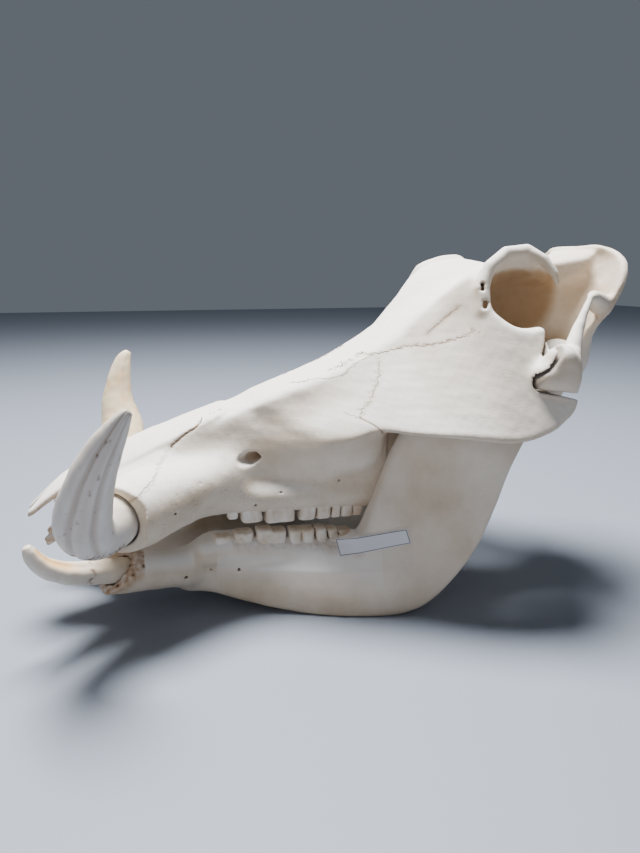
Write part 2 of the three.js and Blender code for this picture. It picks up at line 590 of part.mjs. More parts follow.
// Bones part along thin cuts. A prism stands on an outline in x and z or x and y, between two planes.
function grown(points, by) {
  return points.map(([u, v], i) => {
    const [a, b] = [points.at(i - 1), points[(i + 1) % points.length]];
    const m = new THREE.Vector2(v - a[1], a[0] - u).normalize();
    const n = new THREE.Vector2(b[1] - v, u - b[0]).normalize();
    const move = m.clone().add(n).multiplyScalar(by / (1 + m.dot(n)));
    return [u + move.x, v + move.y];
  });
}
function prism(points, [from, to], plane, by = 0) {
  const shape = new THREE.Shape(grown(points, by).map(([u, v]) => new THREE.Vector2(u, v)));
  const geometry = new THREE.ExtrudeGeometry(shape, { depth: to - from + 2 * by, bevelEnabled: false });
  geometry.translate(0, 0, from - by);
  if (plane === 'xz') geometry.rotateX(Math.PI / 2).scale(1, -1, 1);
  const solid = solidFrom(geometry);
  return solid.volume() > 0 ? solid : solidFrom(flipped(geometry));
}
function flipped(geometry) {
  const bare = geometry.clone();
  const p = bare.attributes.position.array;
  for (let i = 0; i < p.length; i += 9)
    for (let k = 0; k < 3; k++) [p[i + k], p[i + 3 + k]] = [p[i + 3 + k], p[i + k]];
  return bare;
}

const NASAL_SIDE = [[-76, 60], [-45, 81], [-22, 90.5], [-8, 96], [30, 110], [90, 136], [162, 160],
  [166, 260], [-76, 260]];
const NASAL_PLAN = [[-80, 0], [-80, 30], [4, 24], [60, 22.5], [120, 19], [158, 10], [160, 0]];
const PREMAXILLA_SIDE = [[-76, 30], [6, 30], [-4, 98], [-12, 100], [-76, 66]];
const JUGAL_SIDE = [[120, 100], [133, 127], [143, 149], [148, 167], [162, 171], [191, 183], [213, 191],
  [218, 200], [250, 200],
  [254, 182], [247, 172], [236, 162], [231, 153], [233, 147.5], [243, 145], [262, 141], [262, 100]].reverse();
const SQUAMOSAL_SIDE = [[262, 141], [243, 145], [233, 147.5], [231, 153], [236, 162], [247, 172],
  [254, 182], [262, 196], [290, 240],
  [305, 240], [305, 120], [262, 120]].reverse();

function part(solid, name, cutter, wider, material) {
  add(name, largest(solid.intersect(cutter)), material);
  return largest(solid.subtract(wider));
}

const skull = new THREE.Group();
function add(name, solid, material) {
  const mesh = new THREE.Mesh(geometryOf(solid), material);
  mesh.name = name;
  skull.add(mesh);
}

let craniumSolid = solidOf(thinned(surfaceOf(cranium, [[-72, -123, 40], [348, 123, 250]],
  3, true), CRANIUM_TRIANGLES));
let jawSolid = solidOf(thinned(surfaceOf(jaw, [[-30, -105, -6], [264, 105, 159]], 3, true), JAW_TRIANGLES));
const table = new THREE.BoxGeometry(500, 300, 20);
table.translate(100, 0, -10);
jawSolid = largest(jawSolid.subtract(craniumSolid).subtract(solidFrom(table)));

for (const [sideName, side] of SIDES) {
  add(`upper_tusk_${sideName}`, upperTusk(sideName, side, 0), ivory);
  craniumSolid = craniumSolid.subtract(upperTusk(sideName, side, GAP));
  add(`lower_tusk_${sideName}`, lowerTusk(sideName, side, 0), ivory);
  jawSolid = jawSolid.subtract(lowerTusk(sideName, side, GAP));
  for (const row of UPPER_CHEEK) {
    add(`upper_${row[0]}_${sideName}`, cheekTooth('upper', side, row, 0), enamel);
    craniumSolid = craniumSolid.subtract(cheekTooth('upper', side, row, GAP));
    jawSolid = jawSolid.subtract(cheekTooth('upper', side, row, CLEAR));
  }
  for (const row of LOWER_CHEEK) {
    add(`lower_${row[0]}_${sideName}`, cheekTooth('lower', side, row, 0), enamel);
    jawSolid = jawSolid.subtract(cheekTooth('lower', side, row, GAP));
  }
  add(`upper_incisor_${sideName}`, peg(UPPER_INCISOR, side, 0), enamel);
  craniumSolid = craniumSolid.subtract(peg(UPPER_INCISOR, side, GAP));
  LOWER_INCISORS.forEach((points, n) => {
    add(`lower_incisor_${n + 1}_${sideName}`, peg(points, side, 0), enamel);
    jawSolid = jawSolid.subtract(peg(points, side, GAP));
  });
}
add('mandible', largest(jawSolid), bone);

const halfSpan = (side, from, to) => (side < 0 ? [-to, -from] : [from, to]);
// Outlines run anticlockwise, so the mirrored one is turned round.
const planOf = (side) => (side < 0 ? NASAL_PLAN.map(([x, y]) => [x, -y]) : [...NASAL_PLAN].reverse());
for (const [sideName, side] of SIDES) {
  const nasal = (by) =>
    prism(NASAL_SIDE, halfSpan(side, 0, 40), 'xz', by).intersect(prism(planOf(side), [0, 300], 'xy', by));
  craniumSolid = part(craniumSolid, `nasal_${sideName}`, nasal(-GAP / 2), nasal(GAP / 2), bone);
  const jugal = (by) => prism(JUGAL_SIDE, halfSpan(side, 50, 130), 'xz', by);
  craniumSolid = part(craniumSolid, `jugal_${sideName}`, jugal(-GAP / 2), jugal(GAP / 2), bone);
  const squamosal = (by) => prism(SQUAMOSAL_SIDE, halfSpan(side, 60, 130), 'xz', by);
  craniumSolid = part(craniumSolid, `squamosal_${sideName}`, squamosal(-GAP / 2), squamosal(GAP / 2), bone);
  const premaxilla = (by) => prism(PREMAXILLA_SIDE, halfSpan(side, 0, 33), 'xz', by);
  craniumSolid = part(craniumSolid, `premaxilla_${sideName}`, premaxilla(-GAP / 2), premaxilla(GAP / 2), bone);
}
add('cranium', craniumSolid, bone);

// The origin is under the middle of the whole skull, on the table.
const extent = new THREE.Box3().setFromObject(skull);
const centre = extent.getCenter(new THREE.Vector3());
skull.position.set(-centre.x, -centre.y, -extent.min.z);

export default skull;
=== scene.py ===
import bpy
import math
import numpy as np
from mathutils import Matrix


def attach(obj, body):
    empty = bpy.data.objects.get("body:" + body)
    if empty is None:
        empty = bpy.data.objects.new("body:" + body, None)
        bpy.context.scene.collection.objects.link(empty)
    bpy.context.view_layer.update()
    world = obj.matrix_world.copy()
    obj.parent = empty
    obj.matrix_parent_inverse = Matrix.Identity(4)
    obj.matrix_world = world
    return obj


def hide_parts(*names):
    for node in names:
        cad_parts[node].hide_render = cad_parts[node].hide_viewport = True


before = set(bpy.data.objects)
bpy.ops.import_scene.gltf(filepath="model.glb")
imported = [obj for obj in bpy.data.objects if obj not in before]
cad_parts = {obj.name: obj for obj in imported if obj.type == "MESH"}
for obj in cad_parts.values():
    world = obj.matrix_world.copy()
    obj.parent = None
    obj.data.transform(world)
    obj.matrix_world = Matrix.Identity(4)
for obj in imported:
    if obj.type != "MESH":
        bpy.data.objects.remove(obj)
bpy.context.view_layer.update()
import openvdb
from mathutils import Vector
from mathutils.bvhtree import BVHTree


# The room: a pale table under soft studio light, one large lamp above and behind, a weak one in
# front. The camera stands half a metre away, a little above the skull, on its left side. The skull
# is drawn with its origin at the front of the jaw, and SHIFT moves it to the frame's origin.
SHIFT = np.array([134.922, 1.711, 0.0])
PICTURE_HEIGHT, FOCAL_LENGTH = 853, 690
SENSOR = 36
camera = bpy.data.objects.new("camera", bpy.data.cameras.new("camera"))
bpy.context.scene.collection.objects.link(camera)
bpy.context.scene.camera = camera
camera.data.sensor_width = SENSOR
camera.data.lens = FOCAL_LENGTH * SENSOR / PICTURE_HEIGHT
camera.data.clip_start = 0.01
camera.location = (np.array([0.0, -438.52, 214.01]) - SHIFT) / 1000
camera.rotation_euler = (math.radians(90 - 12.64), 0, math.radians(-16.09))


def lamp(name, place, target, size, watts, colour):
    light = bpy.data.lights.new(name, "AREA")
    light.shape = "DISK"
    light.size = size
    light.energy = watts
    light.color = colour
    body = bpy.data.objects.new(name, light)
    body.location = place
    body.rotation_euler = (Vector(target) - Vector(place)).to_track_quat("-Z", "Y").to_euler()
    bpy.context.scene.collection.objects.link(body)


lamp("top_light", (-0.1, 0.27, 1.48), (0.0, 0.0, 0.1), 0.7, 100, (1.0, 0.98, 0.955))
lamp("front_light", (-0.9, -1.3, 1.0), (0.0, 0.0, 0.1), 0.9, 3.5, (1.0, 0.90, 0.80))
world = bpy.data.worlds.new("room")
bpy.context.scene.world = world
world.use_nodes = True
world.node_tree.nodes["Background"].inputs["Color"].default_value = (0.72, 0.82, 0.96, 1)
world.node_tree.nodes["Background"].inputs["Strength"].default_value = 0.17


def sockets(node, values):
    for name, value in values.items():
        node.inputs[name].default_value = value


def material(name):
    made = bpy.data.materials.new(name)
    made.use_nodes = True
    tree = made.node_tree
    return made, tree, tree.nodes["Principled BSDF"]


bpy.ops.mesh.primitive_plane_add(size=6, location=(0, 0.6, 0))
floor = bpy.context.object
floor.name = "floor"
floor_paint, tree, shader = material("floor_paint")
sockets(shader, {"Base Color": (0.22, 0.25, 0.31, 1), "Roughness": 0.6})
grain = tree.nodes.new("ShaderNodeTexNoise")
sockets(grain, {"Scale": 40.0, "Detail": 3.0})
bump = tree.nodes.new("ShaderNodeBump")
sockets(bump, {"Strength": 0.02, "Distance": 0.001})
tree.links.new(grain.outputs["Fac"], bump.inputs["Height"])
tree.links.new(bump.outputs["Normal"], shader.inputs["Normal"])
floor.data.materials.append(floor_paint)


# Shapes of bone, grown as distance fields on a fine grid, in millimetres: x from the snout back,
# s out from the middle plane, z up from the table. Fields join with fillets, as bone grows
# together, and hollows are cut out of them. The grid's surface becomes the mesh.
STEP = 0.9


def join(a, b, k):
    h = np.clip(0.5 + 0.5 * (b - a) / k, 0, 1)
    return b + (a - b) * h - k * h * (1 - h)


def both(a, b, k):
    return -join(-a, -b, k)


def along(pairs):
    x = np.array([p[0] for p in pairs], float)
    v = np.array([p[1] for p in pairs], float)
    low = np.maximum(np.arange(len(x)) - 1, 0)
    high = np.minimum(np.arange(len(x)) + 1, len(x) - 1)
    slope = (v[high] - v[low]) / (x[high] - x[low])

    def value(at):
        at = np.clip(at, x[0], x[-1])
        i = np.clip(np.searchsorted(x, at, side="left"), 1, len(x) - 1)
        w = x[i] - x[i - 1]
        t = (at - x[i - 1]) / w
        rest = 1 - t
        start = rest * rest * (v[i - 1] * (1 + 2 * t) + slope[i - 1] * w * t)
        return (start + t * t * (v[i] * (3 - 2 * t) - slope[i] * w * rest)).astype(np.float32)
    return value


def lump(centre, radii):
    def value(x, s, z):
        a, b, c = [(q - m) / r for q, m, r in zip((x, s, z), centre, radii)]
        reach = np.sqrt(a * a + b * b + c * c)
        steep = np.sqrt((a / radii[0]) ** 2 + (b / radii[1]) ** 2 + (c / radii[2]) ** 2)
        return reach * (reach - 1) / np.maximum(steep, 1e-6)
    return value


def bar(points):
    def value(x, s, z):
        least = 1e6
        for a, b in zip(points, points[1:]):
            d = [b[i] - a[i] for i in range(3)]
            t = ((x - a[0]) * d[0] + (s - a[1]) * d[1] + (z - a[2]) * d[2]) / sum(q * q for q in d)
            t = np.clip(t, 0, 1)
            away = np.sqrt((x - a[0] - d[0] * t) ** 2 + (s - a[1] - d[1] * t) ** 2
                + (z - a[2] - d[2] * t) ** 2)
            least = np.minimum(least, away - a[3] - (b[3] - a[3]) * t)
        return least
    return value


def rounded(points, steps=5):
    points = np.array(points, float)
    n = len(points)
    ring = []
    for i in range(n):
        p = points[[(i - 1) % n, i, (i + 1) % n, (i + 2) % n]]
        gap = np.maximum(np.linalg.norm(np.diff(p, axis=0), axis=1) ** 0.5, 1e-6)
        t = np.concatenate([[0], np.cumsum(gap)])
        for q in np.linspace(t[1], t[2], steps, endpoint=False):
            a = [((t[j + 1] - q) * p[j] + (q - t[j]) * p[j + 1]) / (t[j + 1] - t[j]) for j in range(3)]
            b = [((t[j + 2] - q) * a[j] + (q - t[j]) * a[j + 1]) / (t[j + 2] - t[j]) for j in range(2)]
            ring.append(((t[2] - q) * b[0] + (q - t[1]) * b[1]) / (t[2] - t[1]))
    return np.array(ring)


def outline(points):
    ring = rounded(points)

    def value(u, v):
        least, inside = 1e9, False
        for a, b in zip(ring, np.roll(ring, -1, axis=0)):
            d = b - a
            t = np.clip(((u - a[0]) * d[0] + (v - a[1]) * d[1]) / (d @ d), 0, 1)
            least = np.minimum(least, (u - a[0] - d[0] * t) ** 2 + (v - a[1] - d[1] * t) ** 2)
            if a[1] != b[1]:
                inside = inside ^ (((a[1] > v) != (b[1] > v)) & (u < a[0] + d[0] * (v - a[1]) / d[1]))
        return np.where(inside, -1, 1) * np.sqrt(least)
    return value


def side_plate(points, outer, thickness, rounding=5):
    edge = outline(points)

    def value(x, s, z):
        face = outer(x, z)
        slab = both(s - face, face - thickness(x, z) - s, rounding)
        return both(slab, edge(x, z), rounding)
    return value


def trunk(half, top, floor, taper, power, start, end, bend=None):
    def value(x, s, z):
        up, down = top(x, s), floor(x)
        middle, tall = (up + down) / 2, (up - down) / 2
        t = (z - middle) / tall
        t = np.clip(t, -1.2, 1.2) if bend is None else np.clip((t - bend) / (1 - bend), 0, 1.2)
        wide = half(x) * (1 + taper(x) * t)
        reach = (np.abs(s / wide) ** power + np.abs((z - middle) / tall) ** power) ** (1 / power)
        return both((reach - 1) * np.minimum(wide, tall), np.maximum(start - x, x - end), 6)
    return value


def plane(point, normal):
    n = np.array(normal, float) / np.linalg.norm(normal)
    return lambda x, s, z: (x - point[0]) * n[0] + (s - point[1]) * n[1] + (z - point[2]) * n[2]


class Grid:
    """Half a field, from the middle plane out."""

    def __init__(self, low, high, step=STEP):
        self.step = step
        self.axes = [np.arange(a, b + step, step, dtype=np.float32) for a, b in zip(low, high)]
        self.d = np.full([len(a) for a in self.axes], 40, np.float32)

    def part(self, box):
        ends = [np.searchsorted(a, [box[2 * i], box[2 * i + 1]]) for i, a in enumerate(self.axes)]
        cut = tuple(slice(*e) for e in ends)
        x, s, z = [a[c] for a, c in zip(self.axes, cut)]
        return cut, x[:, None, None], s[None, :, None], z[None, None, :]

    def add(self, shape, box, k):
        cut, x, s, z = self.part(box)
        self.d[cut] = join(self.d[cut], shape(x, s, z), k)

    def cut(self, shape, box, k):
        cut, x, s, z = self.part(box)
        self.d[cut] = both(self.d[cut], -shape(x, s, z), k)

    def whole(self):
        self.d = np.concatenate([self.d[:, :0:-1], self.d], axis=1)
        self.axes[1] = np.concatenate([-self.axes[1][:0:-1], self.axes[1]])

    def cavity(self, reach):
        """How much bone lies round each place: 0.5 on a flat face, more in a hollow."""
        solid = (self.d < 0).astype(np.float32)
        r = max(int(reach / self.step), 1)
        for axis in range(3):
            wide = [(r + 1, r) if a == axis else (0, 0) for a in range(3)]
            total = np.cumsum(np.pad(solid, wide), axis=axis, dtype=np.float32)
            n = solid.shape[axis]
            after = np.take(total, np.arange(2 * r + 1, 2 * r + 1 + n), axis=axis)
            solid = (after - np.take(total, np.arange(n), axis=axis)) / (2 * r + 1)
        return solid

    def read(self, field, p):
        """The value of a field of this grid at each place."""
        index = [np.clip(np.round((p[:, i] - a[0]) / self.step).astype(int), 0, len(a) - 1)
            for i, a in enumerate(self.axes)]
        return field[tuple(index)]

    def mesh(self, name, keep):
        volume = openvdb.FloatGrid(3.0)
        volume.copyFromArray(np.clip(self.d / self.step, -3, 3).astype(np.float32))
        points, triangles, quads = volume.convertToPolygons(0.0, 0.0)
        places = points * self.step + np.array([a[0] for a in self.axes])
        return built(name, places, [quads] + ([triangles] if len(triangles) else []), keep)


def built(name, places, faces, keep=0):
    """An object from places in millimetres and lists of faces. Loose bits are dropped if keep is set."""
    if keep:
        places, faces = largest(places, faces)
    mesh = bpy.data.meshes.new(name)
    mesh.vertices.add(len(places))
    mesh.vertices.foreach_set("co", ((places - SHIFT) / 1000).astype(np.float32).ravel())
    sizes = np.concatenate([np.full(len(f), f.shape[1]) for f in faces])
    mesh.loops.add(int(sizes.sum()))
    mesh.loops.foreach_set("vertex_index", np.concatenate([f.ravel() for f in faces]).astype(np.int32))
    mesh.polygons.add(len(sizes))
    mesh.polygons.foreach_set("loop_start", np.concatenate([[0], np.cumsum(sizes)[:-1]]).astype(np.int32))
    mesh.polygons.foreach_set("use_smooth", np.ones(len(sizes), bool))
    mesh.update(calc_edges=True)
    mesh.validate()
    made = bpy.data.objects.new(name, mesh)
    bpy.context.scene.collection.objects.link(made)
    if volume_of(places, faces) < 0:
        mesh.flip_normals()
    return made


def volume_of(places, faces):
    total = 0.0
    for f in faces:
        for i in range(1, f.shape[1] - 1):
            a, b, c = places[f[:, 0]], places[f[:, i]], places[f[:, i + 1]]
            total += np.einsum("ij,ij->", a, np.cross(b, c)) / 6
    return total


def largest(places, faces):
    label = np.arange(len(places))
    pairs = np.concatenate([np.stack([f, np.roll(f, 1, axis=1)], -1).reshape(-1, 2) for f in faces])
    while True:
        low = np.minimum(label[pairs[:, 0]], label[pairs[:, 1]])
        new = label.copy()
        np.minimum.at(new, pairs[:, 0], low)
        np.minimum.at(new, pairs[:, 1], low)
        new = new[new]
        new = new[new]
        if np.array_equal(new, label):
            break
        label = new
    names, count = np.unique(label, return_counts=True)
    kept = label == names[np.argmax(count)]
    index = np.cumsum(kept) - 1
    return places[kept], [index[f[kept[f[:, 0]]]] for f in faces]


def places_of(piece):
    flat = np.empty(len(piece.data.vertices) * 3, np.float32)
    piece.data.vertices.foreach_get("co", flat)
    return flat.reshape(-1, 3) * 1000 + SHIFT


def paint(piece, name, values):
    layer = piece.data.attributes.new(name, "FLOAT", "POINT")
    layer.data.foreach_set("value", np.clip(values, 0, 1).astype(np.float32))


def wobble(p, size, seed):
    """Smooth noise from -1 to 1 with features of that size, the same on every run."""
    rng = np.random.default_rng(seed)
    total = np.zeros(len(p))
    for _ in range(9):
        way = rng.normal(size=3)
        way *= 2 * np.pi / size / np.linalg.norm(way) * rng.uniform(0.6, 1.6)
        total += np.sin(p @ way + rng.uniform(0, 6.28))
    return total / 4


def normals_of(piece):
    flat = np.empty(len(piece.data.vertices) * 3, np.float32)
    piece.data.vertices.foreach_get("normal", flat)
    return flat.reshape(-1, 3)


def looks_up(piece):
    """From -1 on a face that looks down to 1 on one that looks up."""
    return normals_of(piece)[:, 2]


def put(piece, p):
    piece.data.vertices.foreach_set("co", ((p - SHIFT) / 1000).astype(np.float32).ravel())


def swell(piece, p, depth):
    """Moves the surface out by depth, in millimetres."""
    put(piece, p + normals_of(piece) * depth[:, None])


def near_line(u, v, points):
    """The distance in a plane from each place to a line through the points."""
    least = 1e9
    for a, b in zip(points, points[1:]):
        d = (b[0] - a[0], b[1] - a[1])
        t = np.clip(((u - a[0]) * d[0] + (v - a[1]) * d[1]) / (d[0] ** 2 + d[1] ** 2), 0, 1)
        least = np.minimum(least, (u - a[0] - d[0] * t) ** 2 + (v - a[1] - d[1] * t) ** 2)
    return np.sqrt(least)


# Bone, the material, dry and bleached: chalky cream-white, with a painted highlight where it faces up
# and on its edges, a warm brown painted shade in hollows, fine grain lines that run along it,
# scattered pores, brown dirt in sutures and cracks, orange stains near the teeth, and brown to
# near-black painted shade in deep creases, inside the orbits and under the nasal tip.
def ramp(tree, stops):
    node = tree.nodes.new("ShaderNodeValToRGB")
    while len(node.color_ramp.elements) < len(stops):
        node.color_ramp.elements.new(0.5)
    for element, (place, colour) in zip(node.color_ramp.elements, stops):
        element.position = place
        element.color = (*colour, 1)
    return node


def mixed(tree, factor, under, over):
    node = tree.nodes.new("ShaderNodeMix")
    node.data_type = "RGBA"
    for index, value in ((0, factor), (6, under), (7, over)):
        if hasattr(value, "is_output"):
            tree.links.new(value, node.inputs[index])
        elif isinstance(value, tuple):
            node.inputs[index].default_value = (*value, 1)
        else:
            node.inputs[index].default_value = value
    return node.outputs[2]


def reckoned(tree, operation, a, b=0.0):
    node = tree.nodes.new("ShaderNodeMath")
    node.operation = operation
    for index, value in enumerate((a, b)):
        if hasattr(value, "is_output"):
            tree.links.new(value, node.inputs[index])
        else:
            node.inputs[index].default_value = value
    return node.outputs[0]


def painted(tree, name):
    node = tree.nodes.new("ShaderNodeAttribute")
    node.attribute_name = name
    return node.outputs["Fac"]


def stretched(tree, scale):
    place = tree.nodes.new("ShaderNodeTexCoord")
    node = tree.nodes.new("ShaderNodeMapping")
    node.inputs["Scale"].default_value = scale
    tree.links.new(place.outputs["Object"], node.inputs["Vector"])
    return node.outputs["Vector"]


def noise(tree, scale, detail=4.0, stretch=(1, 1, 1)):
    node = tree.nodes.new("ShaderNodeTexNoise")
    sockets(node, {"Scale": scale, "Detail": detail, "Roughness": 0.6})
    tree.links.new(stretched(tree, stretch), node.inputs["Vector"])
    return node.outputs["Fac"]


bone, tree, shader = material("bone")
tone = ramp(tree, [(0.30, (0.54, 0.43, 0.31)), (0.50, (0.65, 0.55, 0.43)), (0.70, (0.73, 0.65, 0.54))])
tree.links.new(noise(tree, 22, 6), tone.inputs["Fac"])
# Painted highlight: near white laid on faces that look up, on edges and on a band of the jaw.
colour = mixed(tree, reckoned(tree, "MULTIPLY", painted(tree, "painted_highlight"), 0.9), tone.outputs["Color"],
    (0.86, 0.84, 0.81))
# Painted shade: a warm brown laid into hollows and inside the orbits.
colour = mixed(tree, reckoned(tree, "MULTIPLY", painted(tree, "hollow"), 0.95), colour, (0.40, 0.26, 0.135))
# Stains near the teeth and in seams, and brown painted shade in creases, inside the orbits and under the
# nasal tip, broken up by noise.
patches = reckoned(tree, "MULTIPLY", painted(tree, "stain_and_shade"), reckoned(tree, "MULTIPLY", noise(tree, 260, 5),
    1.7))
colour = mixed(tree, patches, colour, (0.36, 0.20, 0.085))
pore = tree.nodes.new("ShaderNodeTexVoronoi")
sockets(pore, {"Scale": 620.0, "Randomness": 1.0})
tree.links.new(stretched(tree, (1, 1, 1)), pore.inputs["Vector"])
holes = ramp(tree, [(0.10, (1, 1, 1)), (0.30, (0, 0, 0))])
tree.links.new(pore.outputs["Distance"], holes.inputs["Fac"])
scattered = ramp(tree, [(0.48, (0, 0, 0)), (0.62, (1, 1, 1))])
tree.links.new(noise(tree, 190, 3), scattered.inputs["Fac"])
porous = reckoned(tree, "MULTIPLY", reckoned(tree, "MULTIPLY", holes.outputs["Color"],
    scattered.outputs["Color"]), painted(tree, "porous"))
colour = mixed(tree, reckoned(tree, "MULTIPLY", porous, 0.75), colour, (0.22, 0.13, 0.07))
# Near black: dirt in seams and cracks, and painted shade in deep creases, the orbits and the open cheek seam.
colour = mixed(tree, painted(tree, "dark"), colour, (0.055, 0.032, 0.018))
tree.links.new(colour, shader.inputs["Base Color"])
sockets(shader, {"Roughness": 0.68, "Specular IOR Level": 0.28})
fine = noise(tree, 900, 5, (0.16, 1, 1))
chalk = noise(tree, 2200, 3)
height = reckoned(tree, "ADD", reckoned(tree, "MULTIPLY", fine, 0.6), reckoned(tree, "MULTIPLY", chalk, 0.3))
height = reckoned(tree, "SUBTRACT", height, reckoned(tree, "MULTIPLY", porous, 1.4))
bump = tree.nodes.new("ShaderNodeBump")
sockets(bump, {"Strength": 0.35, "Distance": 0.0006})
tree.links.new(height, bump.inputs["Height"])
tree.links.new(bump.outputs["Normal"], shader.inputs["Normal"])


# The cranium, one bone-hard shell of many fused bones: a long snout with an overhanging nasal
# roof, swollen tusk sockets, broad cheek wings, high orbits with raised rims and a thin crest at
# the back. Seams between the bones stay open in places and hold brown dirt; along the open seam at
# the back of the cheek the near black is painted shade.
roof_line = along([(-61, 72), (-40, 91), (-20, 101), (0, 110), (14, 115.8), (22, 118.3), (38, 123.6),
    (54, 128.6), (70, 134), (87, 140), (104, 146), (121, 152), (138, 159.2), (156, 168.5), (172, 177.5),
    (188, 187), (203, 196), (220, 205), (245, 213), (275, 221), (305, 226.5), (335, 230)])
edge_rise = along([(140, 0), (172, 2), (180, 7), (188, 12), (203, 15), (214, 16), (226, 16), (238, 15),
    (250, 12), (265, 6), (285, 0)])
snout_arch = along([(-61, 0.014), (14, 0.009), (50, 0.005), (110, 0.003), (160, 0.002), (335, 0.001)])
ridge = along([(60, 14), (90, 17), (112, 21), (140, 21), (172, 22), (188, 25), (203, 34), (214, 46),
    (226, 53), (252, 54)])


def roof(x, s):
    side = np.clip((s - 8) / 38, 0, 1.1)
    return roof_line(x) + edge_rise(x) * side * side * (3 - 2 * side) - snout_arch(x) * np.minimum(s, 36) ** 2


snout = trunk(start=-12, end=312, top=roof, power=7, bend=-0.6,
    floor=along([(-12, 66), (150, 66), (166, 76), (190, 96), (230, 112), (262, 122), (300, 142)]),
    half=along([(-12, 29), (15, 31), (50, 31), (85, 33), (120, 36), (155, 40), (190, 45), (208, 46),
    (222, 36), (240, 30), (265, 28), (290, 31), (320, 34)]), taper=along([(-12, -0.1), (15, -0.12),
    (50, -0.25), (85, -0.3), (120, -0.38), (155, -0.42), (190, -0.42), (210, -0.1), (240, -0.1),
    (290, -0.25)]))
brow_plan = outline([(150, 12), (172, 19), (188, 24), (203, 34), (214, 44), (226, 48), (238, 50), (250, 51),
    (262, 47), (270, 37), (284, 28), (306, 28), (306, -20), (150, -20)])
nasal_plan = outline([(-61, 6), (-56, 11), (-40, 17), (-20, 22), (2, 25), (30, 23), (60, 16), (60, -6),
    (-30, -6), (-46, -1), (-55, 2.5)])
cheek_spread = along([(84, 22), (95, 28), (106, 35), (118, 43.5), (130, 54), (140, 62), (150, 69), (164, 79),
    (190, 92), (217, 100), (240, 104), (258, 106)])


def cheek_face(x, z):
    top = roof_line(x) + edge_rise(x)
    t = np.clip((top - z) / (top - 120), 0, 1.2)
    return ridge(x) + (cheek_spread(x) - ridge(x)) * t ** 0.9


cheek = side_plate([(84, 140), (98, 129), (114, 122), (126, 119), (140, 121), (160, 120), (190, 119),
    (217, 117), (236, 121.5), (247, 127.5), (256, 135), (258.5, 142), (254, 150), (247, 158), (245.5, 172),
    (247, 186), (234, 182), (226, 183.5), (217, 192), (214, 206), (203, 200), (190, 190), (170, 176),
    (130, 155), (104, 146)], cheek_face, lambda x, z: 38 - 29 * (np.clip(x, 165, 212) - 165) / 47, 5)
half_crest = [(0, 229), (20, 230), (38, 228), (52, 219.5), (58, 206), (55, 190), (45, 176), (40, 158),
    (34, 142), (16, 134)]
crest_edge = outline(half_crest + [(0, 132)] + [(-s, z) for s, z in half_crest[:0:-1]])
crest_x = along([(132, 288), (150, 295), (173, 301), (195, 309), (212, 316), (224, 319), (235, 317)])


def brow(x, s, z):
    top = roof(x, s)
    return both(both(z - top, top - 15 - z, 7), brow_plan(x, s), 7)


def nasal_roof(x, s, z):
    top = roof(x, s)
    return both(both(z - top, top - 4.5 - z, 2), nasal_plan(x, s), 2)


def crest(x, s, z):
    middle = crest_x(z) + 2 - 0.001 * s * s
    thick = np.clip(9 - 0.12 * s - 0.14 * np.maximum(z - 185, 0), 2.6, 9)
    return both(np.abs(x - middle) - thick, crest_edge(s, z), 2.5)


TUSK_ROOT = [(18, 31, 86, 12), (-6, 49, 80, 15.3), (-11, 56, 78, 15.6)]
LEFT_TUSK = TUSK_ROOT + [(-19, 67, 76.5, 15.6), (-23, 75.5, 80, 15.4), (-24.3, 82, 88, 15),
    (-22.9, 87, 97, 14.4), (-20.3, 92, 106.7, 12.9), (-16.8, 96.5, 117.2, 11.4), (-13.8, 99.5, 124, 10.2),
    (-9.7, 102.5, 132.3, 8.7), (-5.6, 105, 139.3, 6.7), (-1.8, 107, 145.6, 4.6), (1.8, 108.5, 150.4, 2.4)]
RIGHT_TUSK = TUSK_ROOT + [(-13, 68, 77, 16), (-8, 80, 82, 16.5), (-3.5, 89, 91, 16.3), (-2.4, 95, 99, 15.4),
    (-3.4, 99, 106.5, 14), (-4.5, 102, 115.4, 12.1), (-4, 104.5, 125.3, 10), (-2.1, 106.5, 136.6, 8.1),
    (1.2, 108.5, 147.9, 5.8), (5.4, 109.5, 154.8, 2.6)]
open_seam = [(246.5, 179), (243.8, 174.2), (241.1, 168.1), (236.6, 160.2), (232.4, 155.9), (230.6, 151.6),
    (231.3, 147.3), (235.7, 145.8), (245.1, 144.4), (255.7, 142.3), (264, 140)]

skull = Grid((-72, 0, 50), (346, 122, 246))
skull.add(snout, (-30, 330, 0, 70, 50, 246), 10)
skull_base = bar([(160, 0, 84, 14), (200, 0, 104, 15), (260, 0, 128, 15), (292, 0, 146, 14)])
skull.add(skull_base, (130, 322, 0, 40, 50, 180), 10)
skull.add(brow, (130, 330, 0, 80, 130, 246), 8)
skull.add(cheek, (60, 290, 0, 122, 90, 230), 16)
cheek_root = bar([(84, 16, 106, 9), (104, 25, 107, 13), (122, 36, 107, 16), (138, 43, 108, 14)])
skull.add(cheek_root, (60, 160, 0, 90, 60, 150), 18)
upper_gum = bar([(56, 27.5, 76.5, 8), (70, 28, 75.5, 9.3), (100, 29.5, 75.3, 9.7), (138, 31, 74.5, 9.5),
    (148, 31, 73, 9)])
skull.add(upper_gum, (40, 165, 10, 50, 55, 95), 4)
skull.cut(lambda x, s, z: roof(x, s) - z, (-72, 346, 0, 122, 60, 246), 4)
tusk_socket = bar([(56, 27, 90, 12), (26, 38, 84, 18), (4, 48, 80, 21), (-8, 55, 78.5, 20.5)])
skull.add(tusk_socket, (-50, 90, 0, 100, 50, 130), 16)
nose_prong = bar([(25, 24, 82, 15), (-5, 21, 72, 11), (-28, 16, 64, 6), (-42, 11, 57, 4),
    (-50, 8, 53.5, 2.2)])
skull.add(nose_prong, (-70, 60, 0, 60, 46, 120), 6)
prong_wall = bar([(20, 25, 96, 9), (-4, 24, 89, 7), (-20, 21, 80, 4)])
